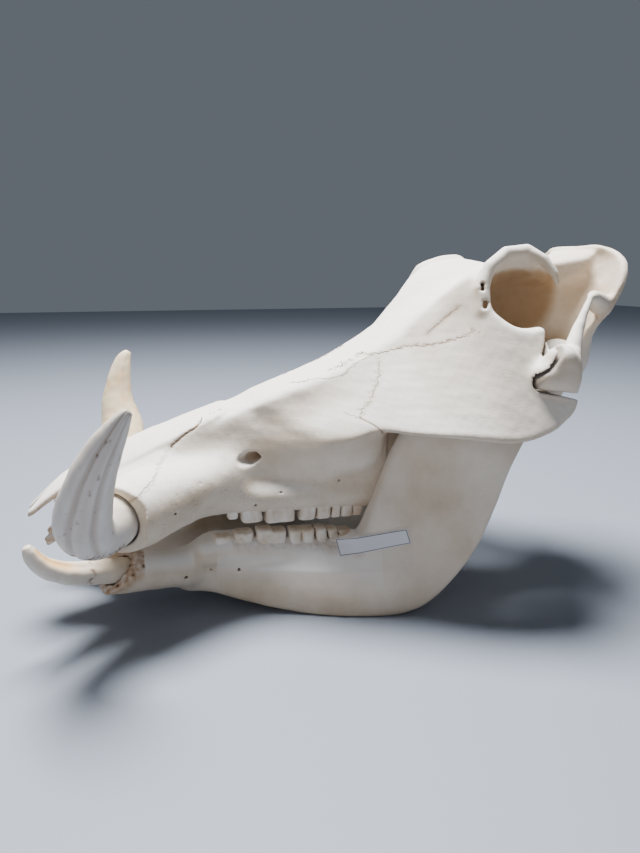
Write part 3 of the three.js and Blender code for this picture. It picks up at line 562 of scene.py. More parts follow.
skull.add(prong_wall, (-50, 50, 0, 60, 50, 130), 6)
nasal_passage = bar([(-75, 0, 79, 12), (-40, 0, 80, 13), (-5, 0, 86, 15.5), (28, 0, 92, 12)])
skull.cut(nasal_passage, (-72, 60, 0, 40, 50, 130), 3)
skull.add(nasal_roof, (-72, 90, 0, 50, 50, 160), 3)
temple_hollow = lump((262, 64, 188), (16, 27, 30))
skull.cut(temple_hollow, (230, 300, 20, 110, 140, 235), 8)
skull.add(crest, (262, 346, 0, 90, 110, 246), 14)
arch_rear = bar([(240, 92, 154.5, 9), (250, 90, 153.5, 10.5), (254, 82, 155, 10), (264, 68, 155, 12),
    (276, 45, 155, 16)])
skull.add(arch_rear, (215, 310, 10, 122, 120, 190), 7)
arch_spike = bar([(246, 93, 164, 9), (250, 92, 162, 8.5), (257, 87, 168, 5.5), (263, 82, 179, 3.6),
    (270, 78, 190, 2.2), (278, 72.5, 199, 1.7), (288, 62, 198.5, 4), (300, 52, 194, 7)])
skull.add(arch_spike, (225, 325, 25, 122, 130, 215), 5)
orbit_hollow = lump((237, 78, 202), (21.5, 42, 21))
skull.cut(orbit_hollow, (205, 270, 25, 122, 170, 235), 3)
orbit_rim = bar([(213, 58, 191, 3), (213.5, 54, 204, 3.6), (220, 51, 217, 4), (232, 49, 225, 4.2),
    (246, 49, 226.5, 4.2), (255, 55, 221, 3.4), (260, 59.5, 213, 2.4), (262, 60, 207, 1.4)])
skull.add(orbit_rim, (200, 275, 30, 85, 175, 246), 5)
neck_knob = lump((307, 16, 158), (13, 9, 13))
skull.add(neck_knob, (285, 335, 0, 40, 130, 190), 6)
neck_spur = bar([(283, 42, 155, 9), (278, 40, 134, 6.5), (272, 38, 112, 4)])
skull.add(neck_spur, (255, 305, 20, 65, 95, 180), 6)
ear_bone = lump((262, 27, 118), (11, 8, 14))
skull.add(ear_bone, (240, 285, 5, 50, 90, 150), 6)
palate_wing = bar([(160, 19, 84, 6), (174, 20, 84, 5), (192, 21, 98, 5)])
skull.add(palate_wing, (140, 210, 0, 40, 60, 120), 6)
spine_opening = bar([(335, 0, 174, 12), (300, 0, 170, 11), (270, 0, 166, 9)])
skull.cut(spine_opening, (250, 346, 0, 30, 140, 200), 4)
nerve_hole = bar([(69, 46, 100.5, 3.6), (74, 28, 101.5, 4), (88, 24, 103, 4)])
skull.cut(nerve_hole, (50, 105, 12, 60, 85, 120), 0.8)
nerve_hole_mouth = lump((71, 37, 101.2), (7.2, 10, 4.4))
skull.cut(nerve_hole_mouth, (50, 95, 15, 60, 85, 120), 1.6)
# two pits in the orbit's front rim, then the small holes for blood vessels
for x, z, r in ((213, 205.5, 1.3), (215, 194.5, 1.6)):
    skull.cut(bar([(x - 4, 66, z + 2, r), (x + 3, 48, z, r)]), (195, 235, 40, 75, 180, 215), 1.6)
    skull.cut(bar([(x - 3, 62, z - 1, r * 0.8), (x + 3, 50, z - 3, r)]), (195, 235, 40, 75, 180, 215), 1.6)
for x, s, z, r in ((90.7, 36, 79.7, 0.8), (74.5, 34, 72.7, 0.9), (128.1, 36, 84.9, 0.8), (24, 59, 80, 0.9),
        (40, 55, 93, 0.8)):
    skull.cut(lump((x, s, z), (r, 9, r)), (x - 4, x + 4, 20, 75, z - 4, z + 4), 0.5)
# the flat mouth of the tusk socket
skull.cut(lambda x, s, z: -plane((-11, 55, 79), (-0.52, 0.84, -0.1))(x, s, z), (-60, 8, 34, 110, 50, 120),
    1.2)
ring = rounded(open_seam + [(300, 100), (300, 220)])[:5 * len(open_seam) - 5]


def seam_gap(x, s, z):
    return np.sqrt(near_line(x + 0 * z, z + 0 * x, ring) ** 2 + 0 * s) - 0.75 - 0.05 * np.maximum(x - 236, 0)


skull.cut(seam_gap, (215, 275, 74, 122, 135, 186), 0.6)
skull.whole()
skull.cut(lambda x, y, z: bar([(a, b, c, r + 0.8) for a, b, c, r in TUSK_ROOT + [(-38, 75, 72, 17)]])(x,
    np.abs(y), z), (-50, 30, -110, 110, 55, 110), 1)
far_rim = lambda x, y, z: roof(x, np.abs(y)) + 5.5 - 3.5 * np.clip((y - 20) / 25, 0, 1) - z
skull.cut(far_rim, (190, 290, 16, 80, 180, 246), 3)
tight, broad = skull.cavity(5), skull.cavity(16)

cranium = skull.mesh("cranium_bone", True)
p = places_of(cranium)
x, s, z = p[:, 0], np.abs(p[:, 1]), p[:, 2]
tight, broad = skull.read(tight, p), skull.read(broad, p)
jitter = wobble(p, 7, 4) * 0.9
outer_side = np.clip((s - 17) / 6, 0, 1) * (broad < 0.62)


def seam(points, width, strength, zigzag=0.8):
    wave = wobble(p, 4.5, 11) * zigzag
    return strength * np.exp(-(near_line(x + wave, z - wave * 0.7, points) / width) ** 2)


# How deep a place lies in an orbit and how far it faces down: the mask for painted shade inside the orbits.
orbit_shade = (np.clip((33 - np.hypot((x - 249) * 0.85, z - 199)) / 9, 0, 1) * np.clip((56 - s) / 8, 0, 1)
    * np.clip((s - 8) / 6, 0, 1) * np.clip((roof_line(x) + edge_rise(x) - 9 - z) / 5, 0, 1)
    * np.clip(1 - 2 * looks_up(cranium), 0, 1))
# Under the overhanging nasal tip the bone is painted brown as shade.
under_nasal = np.clip((roof_line(x) - 1.8 - z) / 3, 0, 1) * np.clip((-14 - x) / 14, 0, 1) * (z > 58)
# Brown painted shade in creases, under the nasal tip and in the orbits, then stains at the nose tip, the back
# of the skull and the back teeth.
stain_and_shade = np.maximum.reduce([
    np.clip((tight - 0.66) * 3, 0, 0.6), under_nasal * 0.85, orbit_shade * 0.45,
    np.clip(1.2 - np.sqrt(((x + 47) / 12) ** 2 + ((z - 55) / 10) ** 2), 0, 1) * 0.8,
    np.clip(1.3 - np.sqrt(((x - 315) / 16) ** 2 + ((s - 40) / 25) ** 2 + ((z - 190) / 16) ** 2), 0, 1) * 0.8,
    np.clip(1.2 - np.sqrt(((x - 145) / 10) ** 2 + ((s - 30) / 14) ** 2 + ((z - 68) / 9) ** 2), 0, 1) * 0.5])
seams = np.maximum.reduce([seam([(48, 125.5), (54.5, 128.9), (63.7, 132.1), (75, 136.2)], 1.1, 0.9),
    seam([(75, 136.2), (88.7, 142.4), (104, 148.9), (122.2, 155.3)], 0.8, 0.4),
    seam([(-5.6, 87.7), (12.4, 98), (25.5, 111)], 0.7, 0.4), seam([(132.8, 155.1), (145.7, 162.5),
    (156.9, 163.9), (170.5, 168), (183.8, 169.9), (201.2, 176.2), (207.5, 180.1)], 0.6, 0.6, 1.2),
    seam([(155.2, 161.2), (154.9, 156), (150.6, 147.3), (145.3, 138.6), (138.5, 131.6), (136.2, 127.3)], 0.6,
    0.45, 1.4), seam([(131.3, 149.9), (142.3, 157.2), (154.1, 162.9)], 0.5, 0.4, 0.8),
    seam([(136.3, 127.8), (141.7, 125.3), (148, 119.5), (152.1, 117.5)], 0.5, 0.6, 0.6),
    seam([(183.2, 176.1), (189.6, 181.9), (196.8, 188.6), (202.1, 193.4)], 1.2, 0.45, 0.3)]) * outer_side
crack = seam([(25.5, 111), (33.7, 117.1), (41, 121.2), (47.5, 126.4), (52, 129.5)], 0.75, 1.0,
    0.3) * outer_side * (p[:, 1] < 0)
# Near-black painted shade along the open seam at the back of the cheek.
gap = np.exp(-(near_line(x, z, ring) / 1.3) ** 2) * (s > 70)
rim = np.exp(-((bar(TUSK_ROOT + [(-38, 75, 72, 17)])(x, s, z) - 0.8) / 0.7) ** 2) * (x < 12)
# Painted shade: warm brown in broad hollows and inside the orbits.
paint(cranium, "hollow", np.maximum((broad - 0.55) * 3.4, orbit_shade * 1.6) + jitter * 0.03)
# Painted highlight: near white on faces that look up and on edges, less towards the back.
paint(cranium, "painted_highlight", np.clip((looks_up(cranium) - 0.28) * 2 + (0.5 - broad), 0, 1)
    * np.clip(1.3 - np.clip((x - 250) / 40, 0, 0.8), 0, 1))
paint(cranium, "stain_and_shade", np.maximum(stain_and_shade * (0.75 + 0.4 * jitter), seams * 0.8))
# Near black: dirt in the crack and seams, a dark ring round the tusk sockets, and painted shade in the open
# cheek seam, deep creases and the orbits.
paint(cranium, "dark", np.maximum.reduce([crack * 0.9, gap, rim * 0.85, seams * 0.45,
    np.clip((tight - 0.83) * 5, 0, 0.9), orbit_shade * 0.22]))
paint(cranium, "porous", np.clip(0.25 + 0.9 * np.exp(-(((x - 30) / 34) ** 2 + ((z - 74) / 17) ** 2))
    + (z < 100) * 0.2, 0, 1))
cranium.data.materials.append(bone)
sunk = np.clip(crack * 0.8 + seams * 0.22, 0, 0.8)
swell(cranium, p, wobble(p, 16, 21) * 0.12 + wobble(p, 6, 22) * 0.06 - sunk)
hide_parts("cranium", "nasal_left", "nasal_right", "premaxilla_left", "premaxilla_right",
    "jugal_left", "jugal_right", "squamosal_left", "squamosal_right")
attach(cranium, "root")


# The jaw: a spout-shaped front where both sides are fused, deep smooth branches that
# spread apart, and tall thin plates at the back that reach up inside the cheeks.
chin = trunk(start=-18, end=84, power=3, top=lambda x, s: along([(-18, 36), (-5, 40), (15, 40.5), (27, 42.7),
    (39, 45.8), (50, 49.5), (78, 48)])(x), floor=along([(-18, 26), (0, 18.5), (25, 14), (48, 11.5), (70, 6),
    (90, 2), (170, 0)]), half=along([(-18, 24), (-6, 27), (10, 26), (30, 24), (50, 27), (78, 33)]),
    taper=along([(-18, 0.3), (10, 0.25), (50, 0.1), (78, 0)]))
branch_body = along([(40, 21), (54, 28), (70, 35), (95, 44), (125, 56), (150, 64), (190, 74), (220, 80),
    (250, 84)])
branch_lean = along([(45, 0.05), (95, 0.2), (125, 0.28), (150, 0.22), (200, 0), (250, 0)])
branch_thick = along([(45, 22), (100, 22), (140, 20), (180, 13), (240, 12)])


def branch_face(x, z):
    under_teeth = np.clip(z - 29, 0, 17) * np.clip((136 - x) / 25, 0, 1) * np.clip((x - 50) / 30, 0, 1)
    return branch_body(x) - branch_lean(x) * (z - 20) - 0.5 * under_teeth - 0.012 * np.maximum(20 - z, 0) ** 2


branch = side_plate([(30, 15), (48, 11.5), (69, 6), (90, 1), (112, -2.6), (130, -3.4), (150, -2.5), (172, 3),
    (186, 15), (199, 31), (209, 48.5), (217, 70), (224, 92), (231, 108), (241, 126), (248, 134), (246, 142),
    (236, 142), (226, 130), (212, 132), (202, 144), (192, 150), (182, 144), (172, 130), (162, 110), (154, 86),
    (147, 66), (140, 50.5), (131, 43.5), (123, 41.5), (108, 43.5), (90, 45.5), (78, 47.3), (72, 49),
    (58, 50.5), (48, 50.5), (38, 45)], branch_face, lambda x, z: np.maximum(branch_thick(x)
    - np.maximum(z - 48, 0) * 0.1, 8), 5)
lower_mouth = plane((-11, 29, 36), (-0.6, 0.42, 0.68))
lower_socket = bar([(30, 22, 30, 10), (6, 26, 34, 12.5), (-8, 30, 35, 12.3), (-24, 36, 36.5, 10.5)])
LOWER_ROOT = [(16, 19, 30, 7), (-4, 26.5, 35, 7.9), (-12, 29.5, 37.2, 7.9)]
LEFT_LOWER = LOWER_ROOT + [(-25.5, 39, 41.5, 7.2), (-34, 46, 45.2, 6.8), (-41, 51.5, 49.5, 6.3),
    (-47, 56, 54.5, 5.9), (-51.5, 59.2, 60.5, 5.2), (-54, 61, 66.5, 4), (-55, 61.6, 70.5, 2.2)]
RIGHT_LOWER = LOWER_ROOT + [(-25.5, 39, 41.5, 7.2), (-33, 45, 45, 6.8), (-38.5, 49.5, 49, 6.2),
    (-44, 53.5, 54, 5.6), (-47.5, 56.5, 60, 4.6), (-49.3, 58, 66, 2.4)]

lower = Grid((-32, 0, -4), (264, 104, 158))
lower.add(chin, (-32, 110, 0, 50, -4, 70), 8)
lower.add(branch, (20, 264, 0, 104, -4, 158), 8)
lower.add(lambda x, s, z: both(lower_socket(x, s, z), lower_mouth(x, s, z), 1.5), (-36, 60, 0, 60, 5, 70), 8)
lower_gum = bar([(45, 26.5, 41, 8), (60, 27.6, 42, 8.7), (75, 28.5, 40.5, 9), (100, 29.5, 37.5, 9.5),
    (124, 30.4, 35.5, 9.3), (137, 31, 39, 9.5)])
lower.add(lower_gum, (30, 155, 10, 48, 20, 60), 4)
knuckle = lump((243, 76, 136), (8, 17, 7))
lower.add(knuckle, (225, 262, 50, 104, 120, 150), 6)
trough = bar([(-30, 0, 47, 12), (20, 0, 46, 13), (60, 0, 44, 16), (100, 0, 30, 26)])
lower.cut(trough, (-32, 150, 0, 60, -4, 80), 5)
gorge = bar([(62, 0, -2, 8), (100, 0, 14, 26), (150, 0, 20, 38)])
lower.cut(gorge, (40, 200, 0, 70, -4, 80), 8)
for x, s, z, r in ((30.4, 25, 28, 1.5), (46.7, 26, 29.1, 0.7), (63.7, 32, 29.2, 1.1), (27.8, 25, 28.8, 0.9)):
    lower.cut(lump((x, s, z), (r, 9, r)), (x - 4, x + 4, 8, 60, z - 4, z + 4), 0.4)
# the lower edge is flat where the skull rests
lower.cut(lambda x, s, z: z + 0 * x + 0 * s, (-32, 264, 0, 104, -4, 20), 1)
lower.whole()
lower.cut(lambda x, y, z: bar([(a, b, c, r + 0.7) for a, b, c, r in LEFT_LOWER[:5]])(x, np.abs(y), z),
    (-32, 24, -70, 70, 15, 60), 0.8)
tight, broad = lower.cavity(4), lower.cavity(14)
jaw = lower.mesh("jaw_bone", True)
p = places_of(jaw)
x, s, z = p[:, 0], np.abs(p[:, 1]), p[:, 2]
tight, broad = lower.read(tight, p), lower.read(broad, p)
mouth = np.exp(-(lower_mouth(x, s, z) / 4.5) ** 2) * (lower_socket(x, s, z) < 2) * (x < 6)
gum = np.clip(1 - np.abs(z - 44.5 + 0.08 * (x - 95)) / 5, 0, 1) * (x > 60) * (x < 140)
crumble = wobble(p, 5, 31)
# Painted shade: warm brown in hollows, growing towards the back of the jaw and towards its lower edge.
paint(jaw, "hollow", (broad - 0.55) * 3.2 + np.clip((x - 195) / 60, 0, 0.5) + np.clip((20 - z) / 60, 0, 0.3))
# Painted highlight: near white on faces that look up and on a band below the teeth.
paint(jaw, "painted_highlight", np.clip((looks_up(jaw) - 0.1) * 1.6, 0, 1) + 0.4 * np.exp(-((z - 34) / 9) ** 2) * (x > 50)
    * (x < 150))
# Stains at the tusk sockets and along the gum, and brown painted shade in creases.
paint(jaw, "stain_and_shade", np.maximum.reduce([mouth * (0.8 + 0.3 * crumble), gum * 0.35 * (0.8 + 0.5 * crumble),
    np.clip((tight - 0.68) * 3, 0, 0.6)]))
# Near-black painted shade in deep creases, and dark crumbled spots at the tusk sockets.
paint(jaw, "dark", np.maximum(np.clip((tight - 0.85) * 5, 0, 0.9), mouth * np.clip(crumble - 0.75, 0, 1) * 2))
paint(jaw, "porous", np.clip(0.12 + mouth + gum * 0.4, 0, 1))
jaw.data.materials.append(bone)
relief = wobble(p, 18, 41) * 0.1 + mouth * (wobble(p, 3.5, 42) * 0.5 - 0.3)
swell(jaw, p, relief * (z > 0.5))
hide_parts("mandible")
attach(jaw, "root")


# Seams and cracks: where two skull bones meet, a fine zigzag seam has filled with brown dirt, and
# one drying crack runs along the left side of the snout. Each is a hair-thin sliver that lies on
# the bone.
seam_dirt, tree, shader = material("seam_dirt")
grime = ramp(tree, [(0.3, (0.06, 0.035, 0.02)), (0.7, (0.27, 0.17, 0.09))])
tree.links.new(noise(tree, 700, 3), grime.inputs["Fac"])
tree.links.new(grime.outputs["Color"], shader.inputs["Base Color"])
sockets(shader, {"Roughness": 0.95})


def sliver(name, body, points, width, zigzag, seed, sides=(-1, 1)):
    tree_of = BVHTree.FromObject(body, bpy.context.evaluated_depsgraph_get())
    rng = np.random.default_rng(seed)
    line = rounded(list(points) + [points[-1]], 12)[:12 * (len(points) - 1) + 1]
    length = np.concatenate([[0], np.cumsum(np.linalg.norm(np.diff(line, axis=0), axis=1))])
    at = np.arange(0, length[-1], 0.3)
    line = np.stack([np.interp(at, length, line[:, i]) for i in (0, 1)], 1)
    way = np.gradient(line, axis=0)
    way /= np.maximum(np.linalg.norm(way, axis=1), 1e-6)[:, None]
    across = np.stack([-way[:, 1], way[:, 0]], 1)
    knots = np.arange(0, length[-1] + 3, 1.1)
    sway = np.interp(at, knots, rng.uniform(-1, 1, len(knots))) * zigzag
    breadth = width * np.interp(at, knots, rng.uniform(0.25, 1, len(knots))) * np.minimum(1,
        np.minimum(at, at[-1] - at) / 3 + 0.15)
    for side in sides:
        places, faces, before = [], [], False
        for i in range(len(at)):
            hits = []
            for edge in (-0.5, 0.5):
                q = line[i] + across[i] * (sway[i] + edge * breadth[i])
                start = (np.array([q[0], side * 160, q[1]]) - SHIFT) / 1000
                hit = tree_of.ray_cast(Vector(start), Vector((0, -side, 0)))
                if hit[0] is not None and abs(hit[0][1] * 1000) > 12:
                    hits.append(np.array(hit[0] + hit[1] * 0.00007) * 1000 + SHIFT)
            whole = len(hits) == 2
            if whole:
                places += hits
                if before and np.linalg.norm(places[-1] - places[-3]) < 2.5:
                    n = len(places)
                    faces.append((n - 4, n - 3, n - 1, n - 2))
            before = whole
        if faces:
            piece = built(name, np.array(places), [np.array(faces)])
            piece.data.materials.append(seam_dirt)
            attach(piece, "root")


bpy.context.view_layer.update()
sliver("snout_crack", cranium, [(25.5, 111), (33.7, 117.1), (41, 121.2), (47.5, 126.4), (52, 129.5)], 1.2,
    0.25, 1, (-1,))
sliver("snout_seam", cranium, [(50.3, 127), (63.7, 132.1), (75, 136.2), (88.7, 142.4), (104, 148.9),
    (122.2, 155.3)], 0.35, 0.4, 2)
sliver("tusk_bone_seam", cranium, [(-5.6, 87.7), (4, 94), (13.6, 100), (17.2, 102.5)], 0.35, 0.4, 3)
sliver("brow_seam", cranium, [(122, 152), (132.8, 155.1), (145.7, 162.5), (156.9, 163.9), (170.5, 168),
    (183.8, 169.9), (201.2, 176.2), (207.5, 180.1)], 0.4, 0.8, 4)
sliver("cheek_seam", cranium, [(155.2, 161.2), (154.9, 156), (150.6, 147.3), (145.3, 138.6), (138.5, 131.6),
    (136.2, 127.3)], 0.4, 0.9, 5)
sliver("tear_groove", cranium, [(183.2, 176.1), (189.6, 181.9), (196.8, 188.6), (202.1, 193.4)], 0.35, 0.3, 6)
sliver("cheek_root_crack", cranium, [(128, 130), (136.3, 127.8), (141.7, 125.3), (148, 119.5),
    (152.1, 117.5)], 0.5, 0.6, 7)
sliver("nasal_side_seam", cranium, [(98, 144), (115, 148), (131.3, 150.5), (142.3, 157.8), (154.1, 163.6)],
    0.3, 0.5, 8)


# Ivory, the material, never painted: smooth and creamy on the far side, weathered grey-white on
# the near one, with long growth grooves darkened by painted shade, brown pits and an orange-worn
# face where upper and lower tusk rub.
ivory, tree, shader = material("tusk_ivory")
tone = ramp(tree, [(0.3, (0.53, 0.49, 0.455)), (0.55, (0.67, 0.64, 0.61)), (0.75, (0.74, 0.72, 0.69))])
tree.links.new(noise(tree, 45, 5, (1, 1, 0.25)), tone.inputs["Fac"])
cream = ramp(tree, [(0.35, (0.76, 0.60, 0.37)), (0.65, (0.83, 0.72, 0.51))])
tree.links.new(noise(tree, 60, 4, (1, 1, 0.2)), cream.inputs["Fac"])
colour = mixed(tree, painted(tree, "warm"), tone.outputs["Color"], cream.outputs["Color"])
colour = mixed(tree, reckoned(tree, "MULTIPLY", painted(tree, "facet"), 0.9), colour, (0.78, 0.47, 0.19))
# Grey-brown: painted shade in the grooves of the upper tusks, and dirt at the rough base, chips and spots
# elsewhere.
colour = mixed(tree, reckoned(tree, "MULTIPLY", painted(tree, "groove"), 0.6), colour, (0.36, 0.28, 0.22))
colour = mixed(tree, painted(tree, "pit"), colour, (0.13, 0.065, 0.035))
tree.links.new(colour, shader.inputs["Base Color"])
sockets(shader, {"Roughness": 0.42, "Specular IOR Level": 0.4})
lines = noise(tree, 320, 4, (1, 1, 0.07))
bump = tree.nodes.new("ShaderNodeBump")
sockets(bump, {"Strength": 0.3, "Distance": 0.0005})
tree.links.new(lines, bump.inputs["Height"])
tree.links.new(bump.outputs["Normal"], shader.inputs["Normal"])


# The tusks: two great upper ones curl out of the snout and up, two slimmer ones come from the
# jaw. Each is one curved tooth, round at its socket and flatter above, with grooves along its
# length.
def smooth_path(path, count):
    path = np.array(path, float)
    ends = np.concatenate([[2 * path[0] - path[1]], path, [2 * path[-1] - path[-2]]])
    t = np.linspace(0, len(path) - 1, count)
    i = np.minimum(t.astype(int), len(path) - 2)
    u = (t - i)[:, None]
    a, b, c, d = ends[i], ends[i + 1], ends[i + 2], ends[i + 3]
    return 0.5 * (2 * b + (c - a) * u + (2 * a - 5 * b + 4 * c - d) * u ** 2 + (3 * b - a - 3 * c + d)
        * u ** 3)


def tooth(name, path, side, beside, grooves, flat, seed, look, rings=200, sides=96):
    """A curved tooth along the path. Grooves are (angle, depth, width), look gives the painted values."""
    path = smooth_path([(a, side * b, c, r) for a, b, c, r in path], rings)
    middle, radius = path[:, :3], path[:, 3]
    way = np.gradient(middle, axis=0)
    way /= np.linalg.norm(way, axis=1)[:, None]
    first = np.array(beside, float) - way * (way @ np.array(beside, float))[:, None]
    first /= np.linalg.norm(first, axis=1)[:, None]
    second = np.cross(way, first)
    turn = np.linspace(0, 2 * np.pi, sides, endpoint=False)
    u = np.linspace(0, 1, rings)[:, None]
    out = np.clip((u - 0.2) / 0.2, 0, 1)
    hollow = np.zeros((rings, sides))
    for angle, depth, width in grooves:
        off = (turn - angle * (side if beside[2] else 1) + np.pi) % (2 * np.pi) - np.pi
        hollow += depth * np.exp(-(off / width) ** 2)[None, :] * out
    # the last few rings close the tip in a blunt, chipped dome
    end = np.sqrt(np.clip(1 - ((np.arange(rings) - rings + 5) / 5.0).clip(0, 1) ** 2, 0.02, 1))[:, None]
    reach = radius[:, None] * end * (1 - hollow)
    squash = 1 - (1 - flat) * out
    places = (middle[:, None, :] + first[:, None, :] * (reach * np.cos(turn))[..., None]
        + second[:, None, :] * (reach * np.sin(turn) * squash)[..., None])
    flat_places = places.reshape(-1, 3)
    away = (flat_places - np.repeat(middle, sides, axis=0)) / np.repeat(np.maximum(radius, 1), sides)[:, None]
    flat_places = flat_places + away * (wobble(flat_places, 9, seed) * 0.12)[:, None]
    index = np.arange(rings * sides).reshape(rings, sides)
    after = np.roll(index, -1, axis=1)
    quads = np.stack([index[:-1], after[:-1], after[1:], index[1:]], -1).reshape(-1, 4)
    tips = np.array([middle[0], middle[-1]])
    n = rings * sides
    caps = np.concatenate([np.stack([after[0], index[0], np.full(sides, n)], -1),
        np.stack([index[-1], after[-1], np.full(sides, n + 1)], -1)])
    all_places = np.concatenate([flat_places, tips])
    piece = built(name, all_places, [quads, caps])
    grid_u = np.concatenate([np.repeat(u[:, 0], sides), [0, 1]])
    grid_turn = np.concatenate([np.tile(turn, rings), [0, 0]])
    carved = np.concatenate([hollow.ravel(), [0, 0]])
    for key, values in look(all_places, grid_u, grid_turn, carved).items():
        paint(piece, key, values)
    piece.data.materials.append(ivory)
    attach(piece, "root")
    return piece


def near_look(p, u, turn, carved):
    spots = np.clip(wobble(p, 6, 51) + wobble(p, 2.6, 52) * 0.7 - 1.15, 0, 1)
    base = np.exp(-((p[:, 2] - 66) / 6) ** 2) * (u > 0.2)
    rough = np.clip(base * (0.7 + 0.8 * wobble(p, 4, 53)), 0, 1)
    # The grooves get painted shade; the rough base gets dirt.
    return {"warm": np.clip(0.75 - u * 3.2, 0, 1) + 0.12, "facet": 0 * u,
        "groove": np.clip(carved * 10, 0, 1) + rough * 0.4, "pit": np.clip(spots * (0.5 + carved * 9)
        + np.clip(rough - 0.55, 0, 1) * 1.8 + (u > 0.985) * 0.4, 0, 0.9)}


def far_look(p, u, turn, carved):
    # The grooves get a little painted shade.
    return {"warm": 0.85 + 0 * u, "facet": np.clip(wobble(p, 12, 61) * 0.35 + carved * 3, 0, 0.5),
        "groove": np.clip(carved * 2, 0, 0.4), "pit": 0 * u}


def lower_look(p, u, turn, carved):
    worn = np.clip(carved * 6, 0, 1) * np.clip((u - 0.4) / 0.15, 0, 1) * np.clip((0.95 - u) / 0.1, 0, 1)
    chip = np.clip(wobble(p, 3, 71) - 0.6, 0, 1) * np.clip((u - 0.9) / 0.05, 0, 1)
    return {"warm": 0.35 + 0.4 * np.clip(1 - u * 2, 0, 1), "facet": worn * 1.1,
        "groove": chip + np.clip(wobble(p, 8, 72) - 0.9, 0, 1) * 0.7,
        "pit": np.exp(-((u - 0.36) / 0.02) ** 2) * np.clip(wobble(p, 5, 73), 0, 0.8)}


upper_grooves = [(-2.09, 0.15, 0.13), (-1.66, 0.06, 0.26), (-1.2, 0.13, 0.12), (1.2, 0.08, 0.2),
    (2.2, 0.06, 0.2)]
piece = tooth("near_upper_tusk", LEFT_TUSK, -1, (1, 0, 0), upper_grooves, 0.8, 5, near_look)
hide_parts("upper_tusk_left")
piece = tooth("far_upper_tusk", RIGHT_TUSK, 1, (1, 0, 0), [(-1.9, 0.03, 0.2), (-1.2, 0.03, 0.2),
    (1.5, 0.05, 0.2)], 0.82, 6, far_look)
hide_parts("upper_tusk_right")
piece = tooth("near_lower_tusk", LEFT_LOWER, -1, (0, 0, 1), [(0.62, 0.24, 0.5), (3.4, 0.06, 0.25)], 0.95, 7,
    lower_look)
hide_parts("lower_tusk_left")
piece = tooth("far_lower_tusk", RIGHT_LOWER, 1, (0, 0, 1), [(0.62, 0.24, 0.5), (3.4, 0.06, 0.25)], 0.95, 8,
    lower_look)
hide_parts("lower_tusk_right")


# The cheek teeth, four to a row, upper and lower. The small front ones are worn to smooth stubs.
# The back one is long, a row of enamel columns packed side by side, with painted shade between them.
enamel, tree, shader = material("tooth_enamel")
tone = ramp(tree, [(0.3, (0.58, 0.46, 0.33)), (0.5, (0.71, 0.62, 0.51)), (0.7, (0.78, 0.73, 0.66))])
tree.links.new(noise(tree, 130, 5), tone.inputs["Fac"])
# Brown: the browner back teeth, spots, and painted shade in the crevices between the columns.
colour = mixed(tree, reckoned(tree, "MULTIPLY", painted(tree, "stain_and_shade"), 0.85), tone.outputs["Color"],
    (0.50, 0.33, 0.19))
# Near-black painted shade in the deepest crevices.
colour = mixed(tree, painted(tree, "dark"), colour, (0.07, 0.04, 0.025))
tree.links.new(colour, shader.inputs["Base Color"])
sockets(shader, {"Roughness": 0.38, "Specular IOR Level": 0.45})
bump = tree.nodes.new("ShaderNodeBump")
sockets(bump, {"Strength": 0.25, "Distance": 0.0004})
tree.links.new(noise(tree, 600, 4, (1, 1, 0.3)), bump.inputs["Height"])
tree.links.new(bump.outputs["Normal"], shader.inputs["Normal"])


def column(x0, x1, row, wide, root, free, lean=0.0):
    """One enamel column between x0 and x1, from its root to its free end."""
    def value(x, s, z):
        t = (z - root) / (free - root)
        middle = (x0 + x1) / 2 + lean * (z - free)
        half = (x1 - x0) / 2 - 0.25 - 0.5 * np.clip(0.25 - t, 0, 1)
        a, b = (x - middle) / half, (s - row(middle)) / wide
        reach = (np.abs(a) ** 3.6 + np.abs(b) ** 3.6) ** (1 / 3.6)
        cap = (z - free) if free > root else (free - z)
        return both((reach - 1) * min((x1 - x0) / 2, wide), cap + 0.012 * (s - row(middle)) ** 2, 1.6)
    return value


def teeth_row(name, columns, row, root, nodes):
    t = Grid((44, 14, min(root, columns[0][3]) - 3), (150, 46, max(root, columns[0][3]) + 5), 0.45)
    for x0, x1, wide, free, lean, k in columns:
        t.add(column(x0, x1, row, wide, root, free, lean), (x0 - 5, x1 + 5, 14, 46, 0, 100), k)
    tight = t.cavity(1.4)
    for side in (-1, 1):
        kept = t.mesh(name, False)
        p = places_of(kept)
        hollow = t.read(tight, p)
        p = p + wobble(p, 5, 81)[:, None] * np.array([0.1, 0.15, 0.1])
        if side < 0:
            p[:, 1] *= -1
            kept.data.flip_normals()
        put(kept, p)
        # The back teeth are browner and the front ones have a few spots; the crevices between the columns get
        # brown and near-black painted shade.
        back = np.clip((p[:, 0] - 126) / 16, 0, 1) * 0.6
        paint(kept, "stain_and_shade", np.maximum.reduce([np.clip((hollow - 0.54) * 6, 0, 0.9), back,
            np.clip(wobble(p, 7, 82) - 0.85, 0, 1) * 0.8 * (p[:, 0] < 80)]))
        paint(kept, "dark", np.clip((hollow - 0.63) * 7, 0, 0.85))
        kept.data.materials.append(enamel)
        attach(kept, "root")
        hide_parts(*[node + ("_left" if side < 0 else "_right") for node in nodes])


